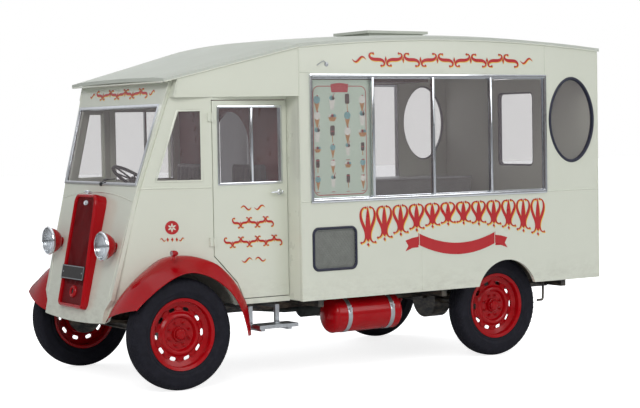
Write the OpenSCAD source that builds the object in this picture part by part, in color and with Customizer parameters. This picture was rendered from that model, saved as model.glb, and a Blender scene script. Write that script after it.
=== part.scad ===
// Forward-control ice cream truck: separate chassis, running gear, cab and serving body.
// Millimetres. +Z up, -Y ahead, +X the truck's left side, ground at Z = 0.
// Inside the modules Y is measured from the front axle; placed() moves it to the middle of the truck.

/* [Running gear] */
// Distance between the axles
wheelbase = 2987; // [2500:1:3600]
// Outer diameter of a tyre
tyre_d = 840; // [780:1:860]
// Width of a tyre
tyre_w = 168; // [140:1:190]
// Diameter over the rim flanges
rim_d = 540; // [450:1:560]
// Width over the rim flanges
rim_w = 130; // [110:1:136]
// Side of the body to the middle of a tyre
tyre_inset = 215; // [200:1:240]
// Steering pivot to the middle of a front tyre
kingpin_offset = 125; // [120:1:135]
// Diameter of the stub axles
stub_d = 50; // [40:1:60]
// Height of the chassis rails
rail_h = 120; // [100:1:150]
// Width of the chassis rails
rail_w = 60; // [50:1:70]
// Middle of a rail to the middle of a tyre
rail_inset = 445; // [440:1:470]

/* [Body] */
// Width over the body sides
body_w = 2120; // [1760:1:2550]
// Front axle to the front of the body
body_front = 960; // [940:1:1160]
// Rear axle to the rear of the body
rear_overhang = 1021; // [850:1:1230]
// Ground to the lower edge of the body
body_bottom = 608; // [596:1:640]
// Thickness of the body and cab walls
wall = 30; // [24:1:36]
// Ground to the highest point of the roof's side edge
roof_edge_z = 2622; // [2560:1:3150]
// Radius of the roof's side edge, seen from the side
roof_r = 16000; // [13000:100:20000]
// Rise of the roof's middle above its side edges
roof_crown = 45; // [30:1:60]
// Depth of the trim along the roof's edge
trim_h = 34; // [25:1:40]
// Thickness of the floor
floor_t = 25; // [20:1:30]
// Radius of the opening over a rear wheel
rear_opening_r = 321; // [280:1:340]

/* [Serving window] */
// Body front to the window frame
window_start = 92; // [70:1:120]
// Window frame to the rear of the body
window_end = 588; // [560:1:620]
// Height of the sill
sill_z = 1357; // [1300:1:1420]
// Height of the window frame
window_h = 990; // [850:1:1050]
// Width of the frame bars
frame_w = 34; // [26:1:40]
// Number of bays, the menu board's among them
bays = 4; // [3:1:5]

/* [Cab] */
// Body side to the cab side
cab_inset = 180; // [150:1:216]
// Front axle to the door's front edge
door_front = 301; // [280:1:320]
// Height of the door's lower edge
door_bottom = 650; // [640:1:680]
// Height of the door's upper edge
door_top = 2150; // [2120:1:2160]
// Thickness of the cab doors
door_t = 36; // [30:1:40]
// Gap round the doors
door_gap = 6; // [5:1:8]
// Sideways taper of the cab ahead of the doors
cab_taper = 0.48; // [0.4:0.01:0.5]
// Front axle to the foot of the windscreen, negative ahead
screen_foot_y = -213; // [-230:1:-200]
// Height of the foot of the windscreen
waist_z = 1516; // [1480:1:1540]
// Backward lean of the windscreen
screen_lean = 16.3; // [14:0.1:18]
// Backward lean of the nose
nose_lean = 14.2; // [12:0.1:16]
// Height of the nose's lower edge
nose_bottom = 505; // [490:1:520]
// Half width of the nose where the wings begin
nose_corner = 587; // [560:1:600]
// Front axle to the roof's front edge, negative ahead
eave_y = -57; // [-70:1:-50]
// Height of the roof's front edge
eave_z = 2293; // [2280:1:2300]
// Thickness of the wings
wing_t = 10; // [6:1:12]

/* [Fittings] */
// Diameter of the gas tank
tank_d = 280; // [230:1:290]
// Length of the gas tank
tank_l = 660; // [550:1:800]
// Width of the serving counter
counter_w = 520; // [430:1:620]
// Diameter of the steering wheel
steering_wheel_d = 420; // [350:1:440]
// Diameter of a headlamp
headlamp_d = 225; // [190:1:240]
// Diameter of the towing eye's hole
tow_bore_d = 25; // [20:1:30]

/* [Hidden] */
$fn = 48;
clearance = 0.3;
body_x = body_w / 2;
cab_x = body_x - cab_inset;
wheel_x = body_x - tyre_inset;
kingpin_x = wheel_x - kingpin_offset;
rail_x = wheel_x - rail_inset;
axle_z = tyre_d / 2;
body_rear = wheelbase + rear_overhang;
floor_z = body_bottom + 4;
floor_top = floor_z + floor_t;
screen_slope = tan(screen_lean);
nose_slope = tan(nose_lean);
soffit_z = door_top + wall;
front_most = screen_foot_y - (waist_z - nose_bottom) * nose_slope - 32;
rear_most = body_rear + 90;
front_axle_y = -(front_most + rear_most) / 2;

module placed() translate([0, front_axle_y, 0]) children();
module on_side(side) mirror([side < 0 ? 1 : 0, 0, 0]) children();
module both_sides() { children(); mirror([1, 0, 0]) children(); }
// Extrudes an outline drawn in (Y, Z) from x0 to x1
module across(x0, x1) translate([x0, 0, 0]) rotate([90, 0, 90]) linear_extrude(x1 - x0) children();
// Extrudes a plan outline drawn in (X, Y) from z0 to z1
module upright(z0, z1) translate([0, 0, z0]) linear_extrude(z1 - z0) children();
// Extrudes an outline drawn in (X, Z) from y0 to y1
module lengthways(y0, y1) translate([0, y1, 0]) rotate([90, 0, 0]) linear_extrude(y1 - y0) children();
// A block between two opposite corners
module block(a, b) translate(a) cube(b - a);
// A cylinder along X from x0 to x1
module rod_x(x0, x1, r, y, z) translate([x0, y, z]) rotate([0, 90, 0]) cylinder(r = r, h = x1 - x0);
// A cylinder along Y from y0 to y1
module rod_y(y0, y1, r, x, z) translate([x, y1, z]) rotate([90, 0, 0]) cylinder(r = r, h = y1 - y0);
module rounded(size, r) {
    translate([r, 0]) square([size.x - 2 * r, size.y]);
    translate([0, r]) square([size.x, size.y - 2 * r]);
    for (x = [r, size.x - r], y = [r, size.y - r]) translate([x, y]) circle(r);
}
// A rounded rectangle between two opposite corners
module panel(a, b, r) translate(a) rounded(b - a, r);
module frame_ring(a, b, r, w) difference() {
    panel(a, b, r);
    panel(a + [w, w], b - [w, w], max(r - w, 2));
}

// Front of the cab at height z: the nose below the waist, the windscreen above it
function front_y(z) = z < waist_z ? screen_foot_y - (waist_z - z) * nose_slope
                                  : screen_foot_y + (z - waist_z) * screen_slope;
// Cab side: straight beside the door, tapered ahead of it
function side_x(y) = y < door_front ? cab_x - (door_front - y) * cab_taper : cab_x;
screen_foot_x = side_x(screen_foot_y);
// depth along Y of the leaning front panels
front_t = wall / cos(max(screen_lean, nose_lean)) + 2 * clearance;
taper_length = sqrt(1 + cab_taper * cab_taper);
// where the inner faces of the straight and the tapered side meet
inner_shift = wall * (taper_length - 1) / cab_taper + clearance;

// Roof edge, seen from the side: an arc over the body and a straight fall to the front eave
roof_peak_y = (body_front + body_rear) / 2;
function arc_z(y) = roof_edge_z - pow(y - roof_peak_y, 2) / (2 * roof_r);
function edge_z(y) = y > body_front ? arc_z(y)
    : eave_z + (arc_z(body_front) - eave_z) * (y - eave_y) / (body_front - eave_y);
fairing_front_x = side_x(eave_y) + 77;
function roof_x(y) = y > body_front ? body_x
    : fairing_front_x + (body_x - fairing_front_x) * (y - eave_y) / (body_front - eave_y);
function crown(y) = y > body_front ? roof_crown
    : roof_crown * (0.25 + 0.75 * (y - eave_y) / (body_front - eave_y));
roof_steps = 12;
roof_ys = concat([for (k = [0:3]) eave_y + (body_front - eave_y) * k / 4], [body_front],
    [for (k = [1:roof_steps]) body_front + (body_rear + 12 - body_front) * k / roof_steps]);
// Outline of a wall under the roof from y0 to y1, down to z0
function under_roof(y0, y1, z0) = concat([[y0, z0]],
    [for (y = concat([y0], [for (s = roof_ys) if (s > y0 && s < y1) s], [y1])) [y, edge_z(y) + 4.4]],
    [[y1, z0]]);
// Outline of a wall across the body, under the crown of the roof
function under_crown(half, y, z0, steps = 12) = concat([[-half, z0]],
    [for (k = [0:steps]) let (x = half * (2 * k / steps - 1))
        [x, edge_z(y) + 4.2 + crown(y) * (1 - pow(x / roof_x(y), 2))]], [[half, z0]]);

// Joins rings of points, each with the same number of points, into one closed solid
module loft(rings) {
    n = len(rings[0]);
    m = len(rings);
    last = (m - 1) * n;
    // each ring's first half runs along the outside and its second half back along the inside
    polyhedron(points = [for (ring = rings) each ring], faces = concat(
        [for (k = [0:n / 2 - 2]) each [[k, k + 1, n - 2 - k], [k, n - 2 - k, n - 1 - k]]],
        [for (k = [0:n / 2 - 2]) each [[last + k, last + n - 2 - k, last + k + 1],
            [last + k, last + n - 1 - k, last + n - 2 - k]]],
        [for (j = [0:m - 2], k = [0:n - 1]) [j * n + k, (j + 1) * n + k, (j + 1) * n + (k + 1) % n]],
        [for (j = [0:m - 2], k = [0:n - 1]) [j * n + k, (j + 1) * n + (k + 1) % n, j * n + (k + 1) % n]]));
}

// ---- Running gear ----
module chassis() placed() color("#1b1b1d") {
    rail_front = front_y(nose_bottom) + front_t + 28;
    cross_ys = [rail_front + 60, 640, 1380, wheelbase - 560, wheelbase + 560, body_rear - 90];
    difference() {
        union() {
            for (s = [-1, 1])
                block([s * rail_x - rail_w / 2, rail_front, floor_z - rail_h],
                    [s * rail_x + rail_w / 2, body_rear - 45, floor_z]);
            for (y = cross_ys) block([-rail_x, y - 30, floor_z - 85], [rail_x, y + 30, floor_z - 5]);
            // outriggers that carry the body sides
            for (y = [1150, wheelbase - 640, wheelbase + 640])
                block([-body_x + wall + 2, y - 25, floor_z - 60], [body_x - wall - 2, y + 25, floor_z]);
            // towing eye
            block([-35, body_rear - 60, floor_z - 75], [35, rear_most, floor_z - 57]);
        }
        translate([0, rear_most - 35, floor_z - 100]) cylinder(d = tow_bore_d, h = 60);
    }
}
module engine_block() placed() color("#33363a")
    block([-170, -190, floor_z - 60], [170, 500, floor_z + 470]);
module drive_shaft() placed() color("#26272a") {
    block([-90, 500, floor_z - 110], [90, 600, floor_z - 4]);
    rod_y(600, wheelbase - 118 - clearance, 32, 0, axle_z + 60);
}
spring_w = 50;
spring_x = rail_x + rail_w / 2 + 4 + spring_w / 2;
spring_drop = 60;
module leaf_spring(y, half) {
    z = axle_z + 40;
    across(spring_x - spring_w / 2, spring_x + spring_w / 2)
        polygon([for (side = [0, 1], k = [-8:8]) let (t = (side ? -k : k) / 8)
            [y + half * t, z + spring_drop * t * t + (side ? 34 - 24 * t * t : 0)]]);
    for (s = [-1, 1]) block([rail_x + rail_w / 2 + clearance, y + s * (half - 20) - 18, z + spring_drop - 4],
        [spring_x + spring_w / 2, y + s * (half - 20) + 18, floor_z - 20]);
}
module leaf_springs() placed() color("#1f2022") both_sides() {
    leaf_spring(0, 405);
    leaf_spring(wheelbase, 460);
}
eye_h = 84;
module front_axle() placed() color("#1c1d1f") difference() {
    union() {
        block([-kingpin_x, -28, axle_z - 40], [kingpin_x, 28, axle_z - 28]);
        block([-kingpin_x, -28, axle_z + 28], [kingpin_x, 28, axle_z + 40 - clearance]);
        block([-kingpin_x, -9, axle_z - 30], [kingpin_x, 9, axle_z + 30]);
        both_sides() translate([kingpin_x, 0, axle_z - eye_h / 2]) cylinder(r = 28, h = eye_h);
    }
    both_sides() translate([kingpin_x, 0, axle_z - eye_h]) cylinder(r = 15, h = 2 * eye_h);
}
module rear_axle() placed() color("#1c1d1f") {
    both_sides() rod_x(0, wheel_x - 92, 40 - clearance, wheelbase, axle_z);
    both_sides() brake_and_stub(wheelbase);
    translate([0, wheelbase, axle_z]) rotate([90, 0, 0]) translate([0, 0, -90]) cylinder(r = 165, h = 170);
    rod_y(wheelbase - 118, wheelbase - 60, 60, 0, axle_z + 60);
}
hub_depth = 34;
module brake_and_stub(y) {
    rod_x(wheel_x - 92, wheel_x - 42, 140, y, axle_z);
    rod_x(wheel_x - 43, wheel_x + 2, stub_d / 2 - clearance, y, axle_z);
}
module knuckle(side) placed() color("#1c1d1f") on_side(side) {
    brake_and_stub(0);
    for (s = [-1, 1])
        block([kingpin_x - 26, -26, axle_z + s * 57 - 11], [wheel_x - 80, 26, axle_z + s * 57 + 11]);
    translate([kingpin_x, 0, axle_z - 66]) cylinder(r = 15 - clearance, h = 132);
    // steering arm
    block([kingpin_x - 20, 20, axle_z - 68], [kingpin_x + 10, 170, axle_z - 50]);
}
module knuckle_left() knuckle(1);
module knuckle_right() knuckle(-1);

// Pressed wheel; profile columns: radius, distance outward from the tyre's middle
rim_r = rim_d / 2;
barrel_r = rim_r - 20;
module wheel(side, y) placed() color("#b3121d") on_side(side) translate([wheel_x, y, axle_z])
    rotate([0, 90, 0]) difference() {
        union() {
            rotate_extrude($fn = 72) difference() {
                polygon([[rim_r, -rim_w / 2], [rim_r, -rim_w / 2 + 9], [barrel_r, -rim_w / 2 + 16],
                    [barrel_r, rim_w / 2 - 16], [rim_r, rim_w / 2 - 9], [rim_r, rim_w / 2],
                    [barrel_r - 4, rim_w / 2 - 6], [barrel_r - 8, rim_w / 2 - 20],
                    [barrel_r - 8, -rim_w / 2 + 10], [barrel_r, -rim_w / 2]]);
            }
            rotate_extrude($fn = 72) polygon([[0, 22], [52, 22], [58, 4], [118, 4], [130, 26], [140, 31],
                [152, 28], [168, 14], [200, 8], [barrel_r - 8, 20], [barrel_r - 2, 8], [barrel_r - 8, 6],
                [200, -4], [164, 4], [148, 18], [138, 18], [124, -8], [62, -8], [62, -hub_depth],
                [0, -hub_depth]]);
        }
        translate([0, 0, -60]) cylinder(d = stub_d, h = 63);
        for (k = [0:9]) rotate([0, 0, 36 * k + 18]) translate([0, 0, -30]) linear_extrude(70) {
            translate([190, 0]) square([28, 26], center = true);
            for (s = [-1, 1]) translate([190, 13 * s]) circle(14);
        }
    }
module wheel_front_left() wheel(1, 0);
module wheel_front_right() wheel(-1, 0);
module wheel_rear_left() wheel(1, wheelbase);
module wheel_rear_right() wheel(-1, wheelbase);

module tyre(side, y) placed() color("#17191f") on_side(side) translate([wheel_x, y, axle_z])
    rotate([0, 90, 0]) rotate_extrude($fn = 96) {
        seat = rim_w / 2 - 10 - clearance;
        r = tyre_d / 2;
        w = tyre_w / 2;
        polygon([[barrel_r + clearance, -seat + 8], [rim_r + 2, -seat], [rim_r + 12, -seat - 14],
            [rim_r + 50, -w + 2], [rim_r + 75, -w], [r - 48, -w + 5], [r - 22, -w + 18],
            [r - 6, -w + 34], [r, -w + 60], [r, w - 60], [r - 6, w - 34], [r - 22, w - 18],
            [r - 48, w - 5], [rim_r + 75, w], [rim_r + 50, w - 2], [rim_r + 12, seat + 14],
            [rim_r + 2, seat], [barrel_r + clearance, seat - 8]]);
    }
module tyre_front_left() tyre(1, 0);
module tyre_front_right() tyre(-1, 0);
module tyre_rear_left() tyre(1, wheelbase);
module tyre_rear_right() tyre(-1, wheelbase);

// ---- Floor and wheel boxes ----
front_box_r = axle_z + 80;
rear_box_r = axle_z + 38;
box_t = 10;
front_box_x = kingpin_x - 215;
cover_x = 205;
rear_box_x = wheel_x - tyre_w / 2 - 26;
// Plan of the space inside the cab's walls
module cab_inside() polygon([for (s = [1, -1]) each (s > 0
    ? [[cab_x - wall, body_front], [cab_x - wall, door_front + inner_shift],
       [side_x(-480) - wall * taper_length - clearance, -480]]
    : [[-side_x(-480) + wall * taper_length + clearance, -480], [-cab_x + wall, door_front + inner_shift],
       [-cab_x + wall, body_front]])]);
module wheel_box(r, x, x_out, y) {
    difference() {
        rod_x(x, x_out, r + box_t, y, axle_z);
        rod_x(x + box_t, x_out + 1, r, y, axle_z);
        block([x - 1, y - r - 50, -200], [x_out + 2, y + r + 50, floor_z]);
    }
}
module floor() placed() color("#6f6a62") {
    cab_start = front_y(floor_top) + 62;
    difference() {
        union() {
            block([-body_x + wall, body_front + wall, floor_z], [body_x - wall, body_rear - wall, floor_top]);
            intersection() {
                upright(floor_z, floor_top) cab_inside();
                block([-body_x, cab_start, 0], [body_x, body_front, floor_top]);
            }
            block([-cab_x + wall, body_front - 1, floor_z], [cab_x - wall, body_front + wall + 1, floor_top]);
        }
        both_sides() {
            rod_x(front_box_x + 1, body_x, front_box_r + 2, 0, axle_z);
            rod_x(rear_box_x + 1, body_x, rear_box_r + 2, wheelbase, axle_z);
        }
        block([20 - cover_x, -215, floor_z - 10], [cover_x - 20, 520, floor_top + 10]);
    }
    both_sides() {
        wheel_box(rear_box_r, rear_box_x, body_x - wall, wheelbase);
        intersection() {
            wheel_box(front_box_r, front_box_x, cab_x, 0);
            upright(0, 1200) cab_inside();
            across(-body_x, body_x) polygon([[front_y(nose_bottom) + front_t, nose_bottom],
                [front_y(1200) + front_t, 1200], [body_front, 1200], [body_front, nose_bottom]]);
        }
    }
    // engine cover
    difference() {
        block([-cover_x, -235, floor_top - 1], [cover_x, 540, floor_top + 490]);
        block([20 - cover_x, -215, floor_top - 2], [cover_x - 20, 520, floor_top + 470]);
    }
}

// ---- Cab ----
module on_nose() translate([0, screen_foot_y, waist_z]) rotate([90 - nose_lean, 0, 0]) children();
module on_screen() translate([0, screen_foot_y, waist_z]) rotate([90 - screen_lean, 0, 0]) children();
nose_l = (waist_z - nose_bottom) / cos(nose_lean);
nose_foot_x = side_x(front_y(nose_bottom)) - 1;
module nose_panel() placed() color("#dcdcc6") on_nose() translate([0, 0, -wall]) linear_extrude(wall)
    polygon(concat([[screen_foot_x, 0], [-screen_foot_x, 0],
        [-nose_corner, 180 - nose_l], [-nose_foot_x - 8, 100 - nose_l]],
        [for (k = [0:12]) let (t = k / 6 - 1) [nose_foot_x * t, -nose_l - 23 * (1 - t * t)]],
        [[nose_foot_x + 8, 100 - nose_l], [nose_corner, 180 - nose_l]]));
// the two leaning panels close towards each other behind their outer faces
foot_gap = wall * tan(screen_lean - nose_lean) + clearance;
header_l = (edge_z(eave_y + 70) - waist_z) / cos(screen_lean);
header_x = side_x(front_y(edge_z(eave_y + 70)));
screen_l = 640;
screen_top_x = 693;
module screen_outline(inset) polygon([[-screen_foot_x + 2 + inset, 6 + inset],
    [screen_foot_x - 2 - inset, 6 + inset], [screen_foot_x + 60 - inset, screen_l - inset],
    [-screen_foot_x - 60 + inset, screen_l - inset]]);
module windscreen_surround() placed() color("#dcdcc6") on_screen() translate([0, 0, -wall])
    linear_extrude(wall) difference() {
        polygon([[-screen_foot_x, foot_gap], [screen_foot_x, foot_gap],
            [header_x, header_l], [-header_x, header_l]]);
        screen_outline(14);
    }
module windscreen() placed() color("#c9ced1") on_screen() {
    translate([0, 0, clearance]) linear_extrude(12) difference() {
        screen_outline(0);
        screen_outline(26);
    }
    translate([0, 0, -10]) linear_extrude(10.5) difference() {
        screen_outline(14 + clearance);
        screen_outline(26);
    }
    translate([0, 0, -4]) linear_extrude(6) screen_outline(25);
}
quarter_z0 = waist_z + 22;
quarter_z1 = door_top - 55;
// Quarter light in (Y, Z); its front edge keeps a pillar behind the windscreen
module quarter_outline(inset) polygon([[front_y(quarter_z0) + 104 + inset, quarter_z0 + inset],
    [door_front - 60 - inset, quarter_z0 + inset], [door_front - 60 - inset, quarter_z1 - inset],
    [front_y(quarter_z1) + 98 + inset, quarter_z1 - inset]]);
// Slab that follows the cab side in plan, from depth a to depth b behind its outer face
module side_slab(a, b, z0, z1) {
    y0 = -600;
    upright(z0, z1) polygon([[cab_x - a, body_front], [cab_x - a, door_front + 0.24 * a],
        [side_x(y0) - a * taper_length, y0], [side_x(y0) - b * taper_length, y0],
        [cab_x - b, door_front + 0.24 * b], [cab_x - b, body_front]]);
}
module door_outline(grow) polygon([[door_front - grow, door_top + grow],
    [body_front - door_gap - 1 + grow, door_top + grow],
    [body_front - door_gap - 1 + grow, door_bottom - grow],
    [552 - grow, door_bottom - grow], [498 - grow, 775 - grow], [381 - grow, 901 - grow],
    [door_front - grow, 986 - grow]]);
fairing_y = front_y(edge_z(60)) + front_t + 3;
module cab_side(side) placed() color("#d6d8c8") on_side(side) {
    intersection() {
        side_slab(0, wall, 400, soffit_z);
        across(0, body_x) difference() {
            polygon([[front_y(nose_bottom) + front_t, nose_bottom], [front_y(waist_z) + front_t, waist_z],
                [front_y(soffit_z) + front_t, soffit_z], [body_front, soffit_z], [body_front, floor_z - 8],
                [front_y(nose_bottom) + 200, floor_z - 8]]);
            intersection() {
                translate([0, axle_z]) circle(front_box_r + box_t + 2, $fn = 96);
                translate([-60, 0]) square(2000);
            }
            // ahead of the axle the side runs inside the tyre, down to the wing's inner edge
            translate([0, axle_z]) circle(axle_z + 4, $fn = 96);
            door_outline(door_gap);
            quarter_outline(8);
        }
    }
    // fairing: a tapered box over the door, open to the roof
    intersection() {
        across(0, body_x + 1) polygon(concat([[front_y(soffit_z) + front_t, soffit_z]],
            [for (y = concat([fairing_y], [for (s = roof_ys) if (s > fairing_y && s < body_front) s],
                [body_front]))
                [y, edge_z(y) + 4.4]], [[body_front, soffit_z]]));
        difference() {
            upright(soffit_z, roof_edge_z) polygon([[roof_x(-40), -40], [body_x, body_front],
                [cab_x - wall, body_front], [cab_x - wall, door_front],
                [side_x(-40) - wall * taper_length, -40]]);
            upright(soffit_z + 20, roof_edge_z + 1) polygon([[roof_x(fairing_y) - wall, fairing_y + wall],
                [body_x - wall, body_front + 1], [0, body_front + 1], [0, fairing_y + wall]]);
        }
    }
    // hinge leaves
    for (z = [1092, 2027])
        block([cab_x - 24, door_front - 36, z - 32], [cab_x + 4, door_front - 9.8, z + 32]);
}
module cab_side_left() cab_side(1);
module cab_side_right() cab_side(-1);
module quarter_lights() placed() color("#aab4b8") both_sides() {
    intersection() {
        side_slab(10, 16, 1400, soffit_z);
        across(0, body_x) quarter_outline(8 + clearance);
    }
    intersection() {
        side_slab(-6, 16, 1400, soffit_z);
        across(0, body_x) difference() {
            quarter_outline(8 + clearance);
            quarter_outline(18);
        }
    }
}

// Wing; columns: inner y, inner z, lip x from the cab side, lip y, lip z, crown
wing_rows = [
    [-442, 512, 84, -412, 634, 46],
    [-372, 640, 96, -372, 680, 56],
    [-286, 756, 100, -300, 738, 62],
    [-220, 842, 100, -215, 795, 52],
    [-157, 906, 100, -125, 845, 42],
    [-85, 962, 100, -30, 880, 34],
    [-10, 990, 100, 60, 888, 30],
    [110, 992, 100, 150, 868, 30],
    [210, 968, 100, 235, 832, 30],
    [300, 928, 100, 320, 776, 30],
    [380, 865, 100, 395, 706, 28],
    [448, 796, 100, 448, 630, 26],
    [505, 712, 100, 484, 556, 24],
    [552, 632, 100, 508, 480, 22],
    [578, 500, 100, 522, 424, 18],
    [591, 372, 100, 531, 375, 16]];
wing_cols = 6;
function toward_axle(p, d) = let (v = [0, p.y, p.z - axle_z]) p - v * d / norm(v);
function wing_point(row, t) =
    let (a = [side_x(row[0]) + 1, row[0], row[1]], b = [cab_x + row[2], row[3], row[4]],
         p = a + (b - a) * t) toward_axle(p, -row[5] * 4 * t * (1 - t) * (1.35 - 0.7 * t));
function seated(p) = [max(p.x, side_x(p.y) + 1), p.y, p.z];
function wing_ring(row) = concat([for (k = [0:wing_cols]) wing_point(row, k / wing_cols)],
    [for (k = [wing_cols:-1:0]) seated(toward_axle(wing_point(row, k / wing_cols), wing_t))]);
module wing(side) placed() color("#b3121d") on_side(side) loft([for (row = wing_rows) wing_ring(row)]);
module wing_left() wing(1);
module wing_right() wing(-1);

shell_l = 905;
// corners of the shell: centre across, centre along, radius across, radius along, first angle
shell_corners = [
    [178, -shell_l - 18, 44, 44, -90],
    [128, -168, 62, 82, 0],
    [-128, -168, 62, 82, 90],
    [-178, -shell_l - 18, 44, 44, 180]];
module shell_outline(grow) polygon([for (c = shell_corners, k = [0:6]) let (a = c[4] + 15 * k)
    [c[0] + (c[2] + grow) * cos(a), c[1] + (c[3] + grow) * sin(a)]]);
shell_depth = 52;
shell_top_depth = 112;
shell_lean = atan((shell_top_depth - shell_depth) / (shell_l + 62));
module on_shell() translate([0, -shell_l - 62, shell_depth]) rotate([shell_lean, 0, 0]) children();
module shell_face(depth) on_shell() translate([-400, -200, depth]) cube([800, 1500, 300]);
module radiator_shell() placed() color("#b3121d") on_nose() translate([0, 0, clearance]) {
    // the face stands more upright than the nose, so the shell is deeper at the top
    difference() {
        linear_extrude(shell_top_depth + 20) shell_outline(0);
        shell_face(0);
        intersection() {
            shell_face(-16);
            linear_extrude(shell_top_depth + 20) shell_outline(-28);
        }
    }
    translate([0, -96, 60]) rotate([-90, 0, 0]) cylinder(r = 22, h = 26);
}
lamp_x = 478;
lamp_y = -426;
lamp_z = 1077;
module headlamps() placed() color("#b3121d") both_sides() translate([lamp_x, lamp_y, lamp_z]) {
    rotate([90, 0, 0]) rotate_extrude($fn = 64) polygon([[0, -92], [30, -86], [62, -66],
        [84, -34], [headlamp_d / 2 - 10, -6], [headlamp_d / 2, 0], [headlamp_d / 2, 14],
        [headlamp_d / 2 - 10, 24], [70, 34], [35, 41], [0, 43]]);
    // stem into the nose
    rotate([-90, 0, 0]) cylinder(r = 16, h = (waist_z - lamp_z) * -nose_slope + screen_foot_y - lamp_y
            - 16 * nose_slope - clearance);
}

// ---- Serving body ----
window_y0 = body_front + window_start;
window_y1 = body_rear - window_end;
window_z1 = sill_z + window_h;
oval_y = (window_y1 + body_rear) / 2 - 5;
oval_z = 1968;
oval_w = 510;
oval_h = 726;
// Oval with slightly pointed ends
module oval(grow) polygon([for (k = [0:47]) let (a = 7.5 * k, s = sin(a), c = cos(a))
    [oval_y + (oval_w / 2 + grow) * c * (1 - 0.04 * s * s),
     oval_z + (oval_h / 2 + grow) * s * (0.97 + 0.03 * abs(s))]]);
vent_y0 = body_front + 100;
vent_w = 416;
vent_z0 = 829;
vent_h = 340;
module vent_panel(grow) panel([vent_y0 - grow, vent_z0 - grow],
    [vent_y0 + vent_w + grow, vent_z0 + vent_h + grow], 55 + grow);
module body_side(side) placed() color("#d6d8c8") on_side(side) {
    across(body_x - wall, body_x) difference() {
        polygon(under_roof(body_front, body_rear, body_bottom));
        panel([window_y0 + 8, sill_z + 8], [window_y1 - 8, window_z1 - 8], 6);
        oval(-14);
        vent_panel(-14);
        translate([wheelbase, axle_z + 74]) circle(rear_opening_r, $fn = 96);
    }
}
module body_side_left() body_side(1);
module body_side_right() body_side(-1);

door_way_w = 620;
module bulkhead() placed() color("#7c1c1c") lengthways(body_front, body_front + wall) difference() {
    polygon(under_crown(body_x - wall, body_front, floor_z));
    translate([-door_way_w / 2, floor_top]) square([door_way_w, 1130]);
    translate([0, floor_top + 1130]) circle(door_way_w / 2, $fn = 64);
    translate([-cab_x + wall, floor_z - 1]) square([2 * (cab_x - wall), floor_t + 1]);
}
rear_door_w = 720;
rear_door_z0 = 690;
rear_door_z1 = 2350;
rear_door_t = 34;
module rear_outline(grow) panel([-rear_door_w / 2 - grow, rear_door_z0 - grow],
    [rear_door_w / 2 + grow, rear_door_z1 + grow], 40 + grow);
module rear_panel() placed() color("#d6d8c8") {
    lengthways(body_rear - wall, body_rear) difference() {
        polygon(under_crown(body_x - wall, body_rear, body_bottom));
        rear_outline(door_gap);
    }
    for (z = [rear_door_z0 + 220, rear_door_z1 - 220])
        block([-rear_door_w / 2 - 44, body_rear - 1, z - 40],
            [-rear_door_w / 2 - 8.2, body_rear + 4, z + 40]);
}
rear_glass_z0 = 1560;
rear_glass_z1 = 2230;
module rear_door() placed() color("#d6d8c8") {
    lengthways(body_rear - rear_door_t, body_rear) difference() {
        rear_outline(0);
        panel([-rear_door_w / 2 + 110, rear_glass_z0], [rear_door_w / 2 - 110, rear_glass_z1], 50);
    }
    // hinge leaves and barrels on the right-hand edge
    for (z = [rear_door_z0 + 220, rear_door_z1 - 220]) {
        block([-rear_door_w / 2 - 2, body_rear - 1, z - 40], [-rear_door_w / 2 + 60, body_rear + 4, z + 40]);
        translate([-rear_door_w / 2 - 2, body_rear + 8, z - 40]) cylinder(r = 7, h = 80);
    }
    // handle
    block([rear_door_w / 2 - 70, body_rear - 1, 1330], [rear_door_w / 2 - 40, body_rear + 18, 1350]);
    block([rear_door_w / 2 - 175, body_rear + 14, 1330], [rear_door_w / 2 - 40, body_rear + 20, 1350]);
}
module rear_door_window() placed() color("#c9ced1") {
    a = [-rear_door_w / 2 + 110, rear_glass_z0];
    b = [rear_door_w / 2 - 110, rear_glass_z1];
    g = [clearance, clearance];
    lengthways(body_rear - 22, body_rear - 14) panel(a + g, b - g, 50);
    lengthways(body_rear - rear_door_t, body_rear + 8) frame_ring(a + g, b - g, 50, 14);
}

// Roof ring at y: trim outside the wall, crowned sheet above
roof_cols = 10;
function roof_ring(y) = let (x1 = roof_x(y) + 12, e = edge_z(y), top = e + trim_h, c = crown(y))
    concat([[-x1, y, e], [-x1, y, top - 8]],
        [for (k = [1:roof_cols - 1]) let (u = 2 * k / roof_cols - 1) [x1 * u, y, top + c * (1 - u * u)]],
        [[x1, y, top - 8], [x1, y, e], [x1 - 10, y, e], [x1 - 10.5, y, e + 5]],
        [for (k = [roof_cols - 1:-1:1]) let (u = 2 * k / roof_cols - 1)
            [(x1 - 11) * u, y, e + 5 + c * (1 - u * u)]],
        [[-x1 + 10.5, y, e + 5], [-x1 + 10, y, e]]);
module roof() placed() color("#dcdcc6") loft([for (y = roof_ys) roof_ring(y)]);
hatch_y = roof_peak_y;
module roof_vent() placed() color("#dcdcc6") {
    z = roof_edge_z + trim_h + roof_crown;
    lengthways(hatch_y - 280, hatch_y + 280) polygon(concat([[-230, z + 22.5]],
        [for (x = [-230:46:230]) [x, z - roof_crown * pow(x / (body_x + 12), 2) + clearance]],
        [[230, z + 22.5]]));
    block([-260, hatch_y - 315, z + 22], [260, hatch_y + 315, z + 45]);
}

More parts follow.
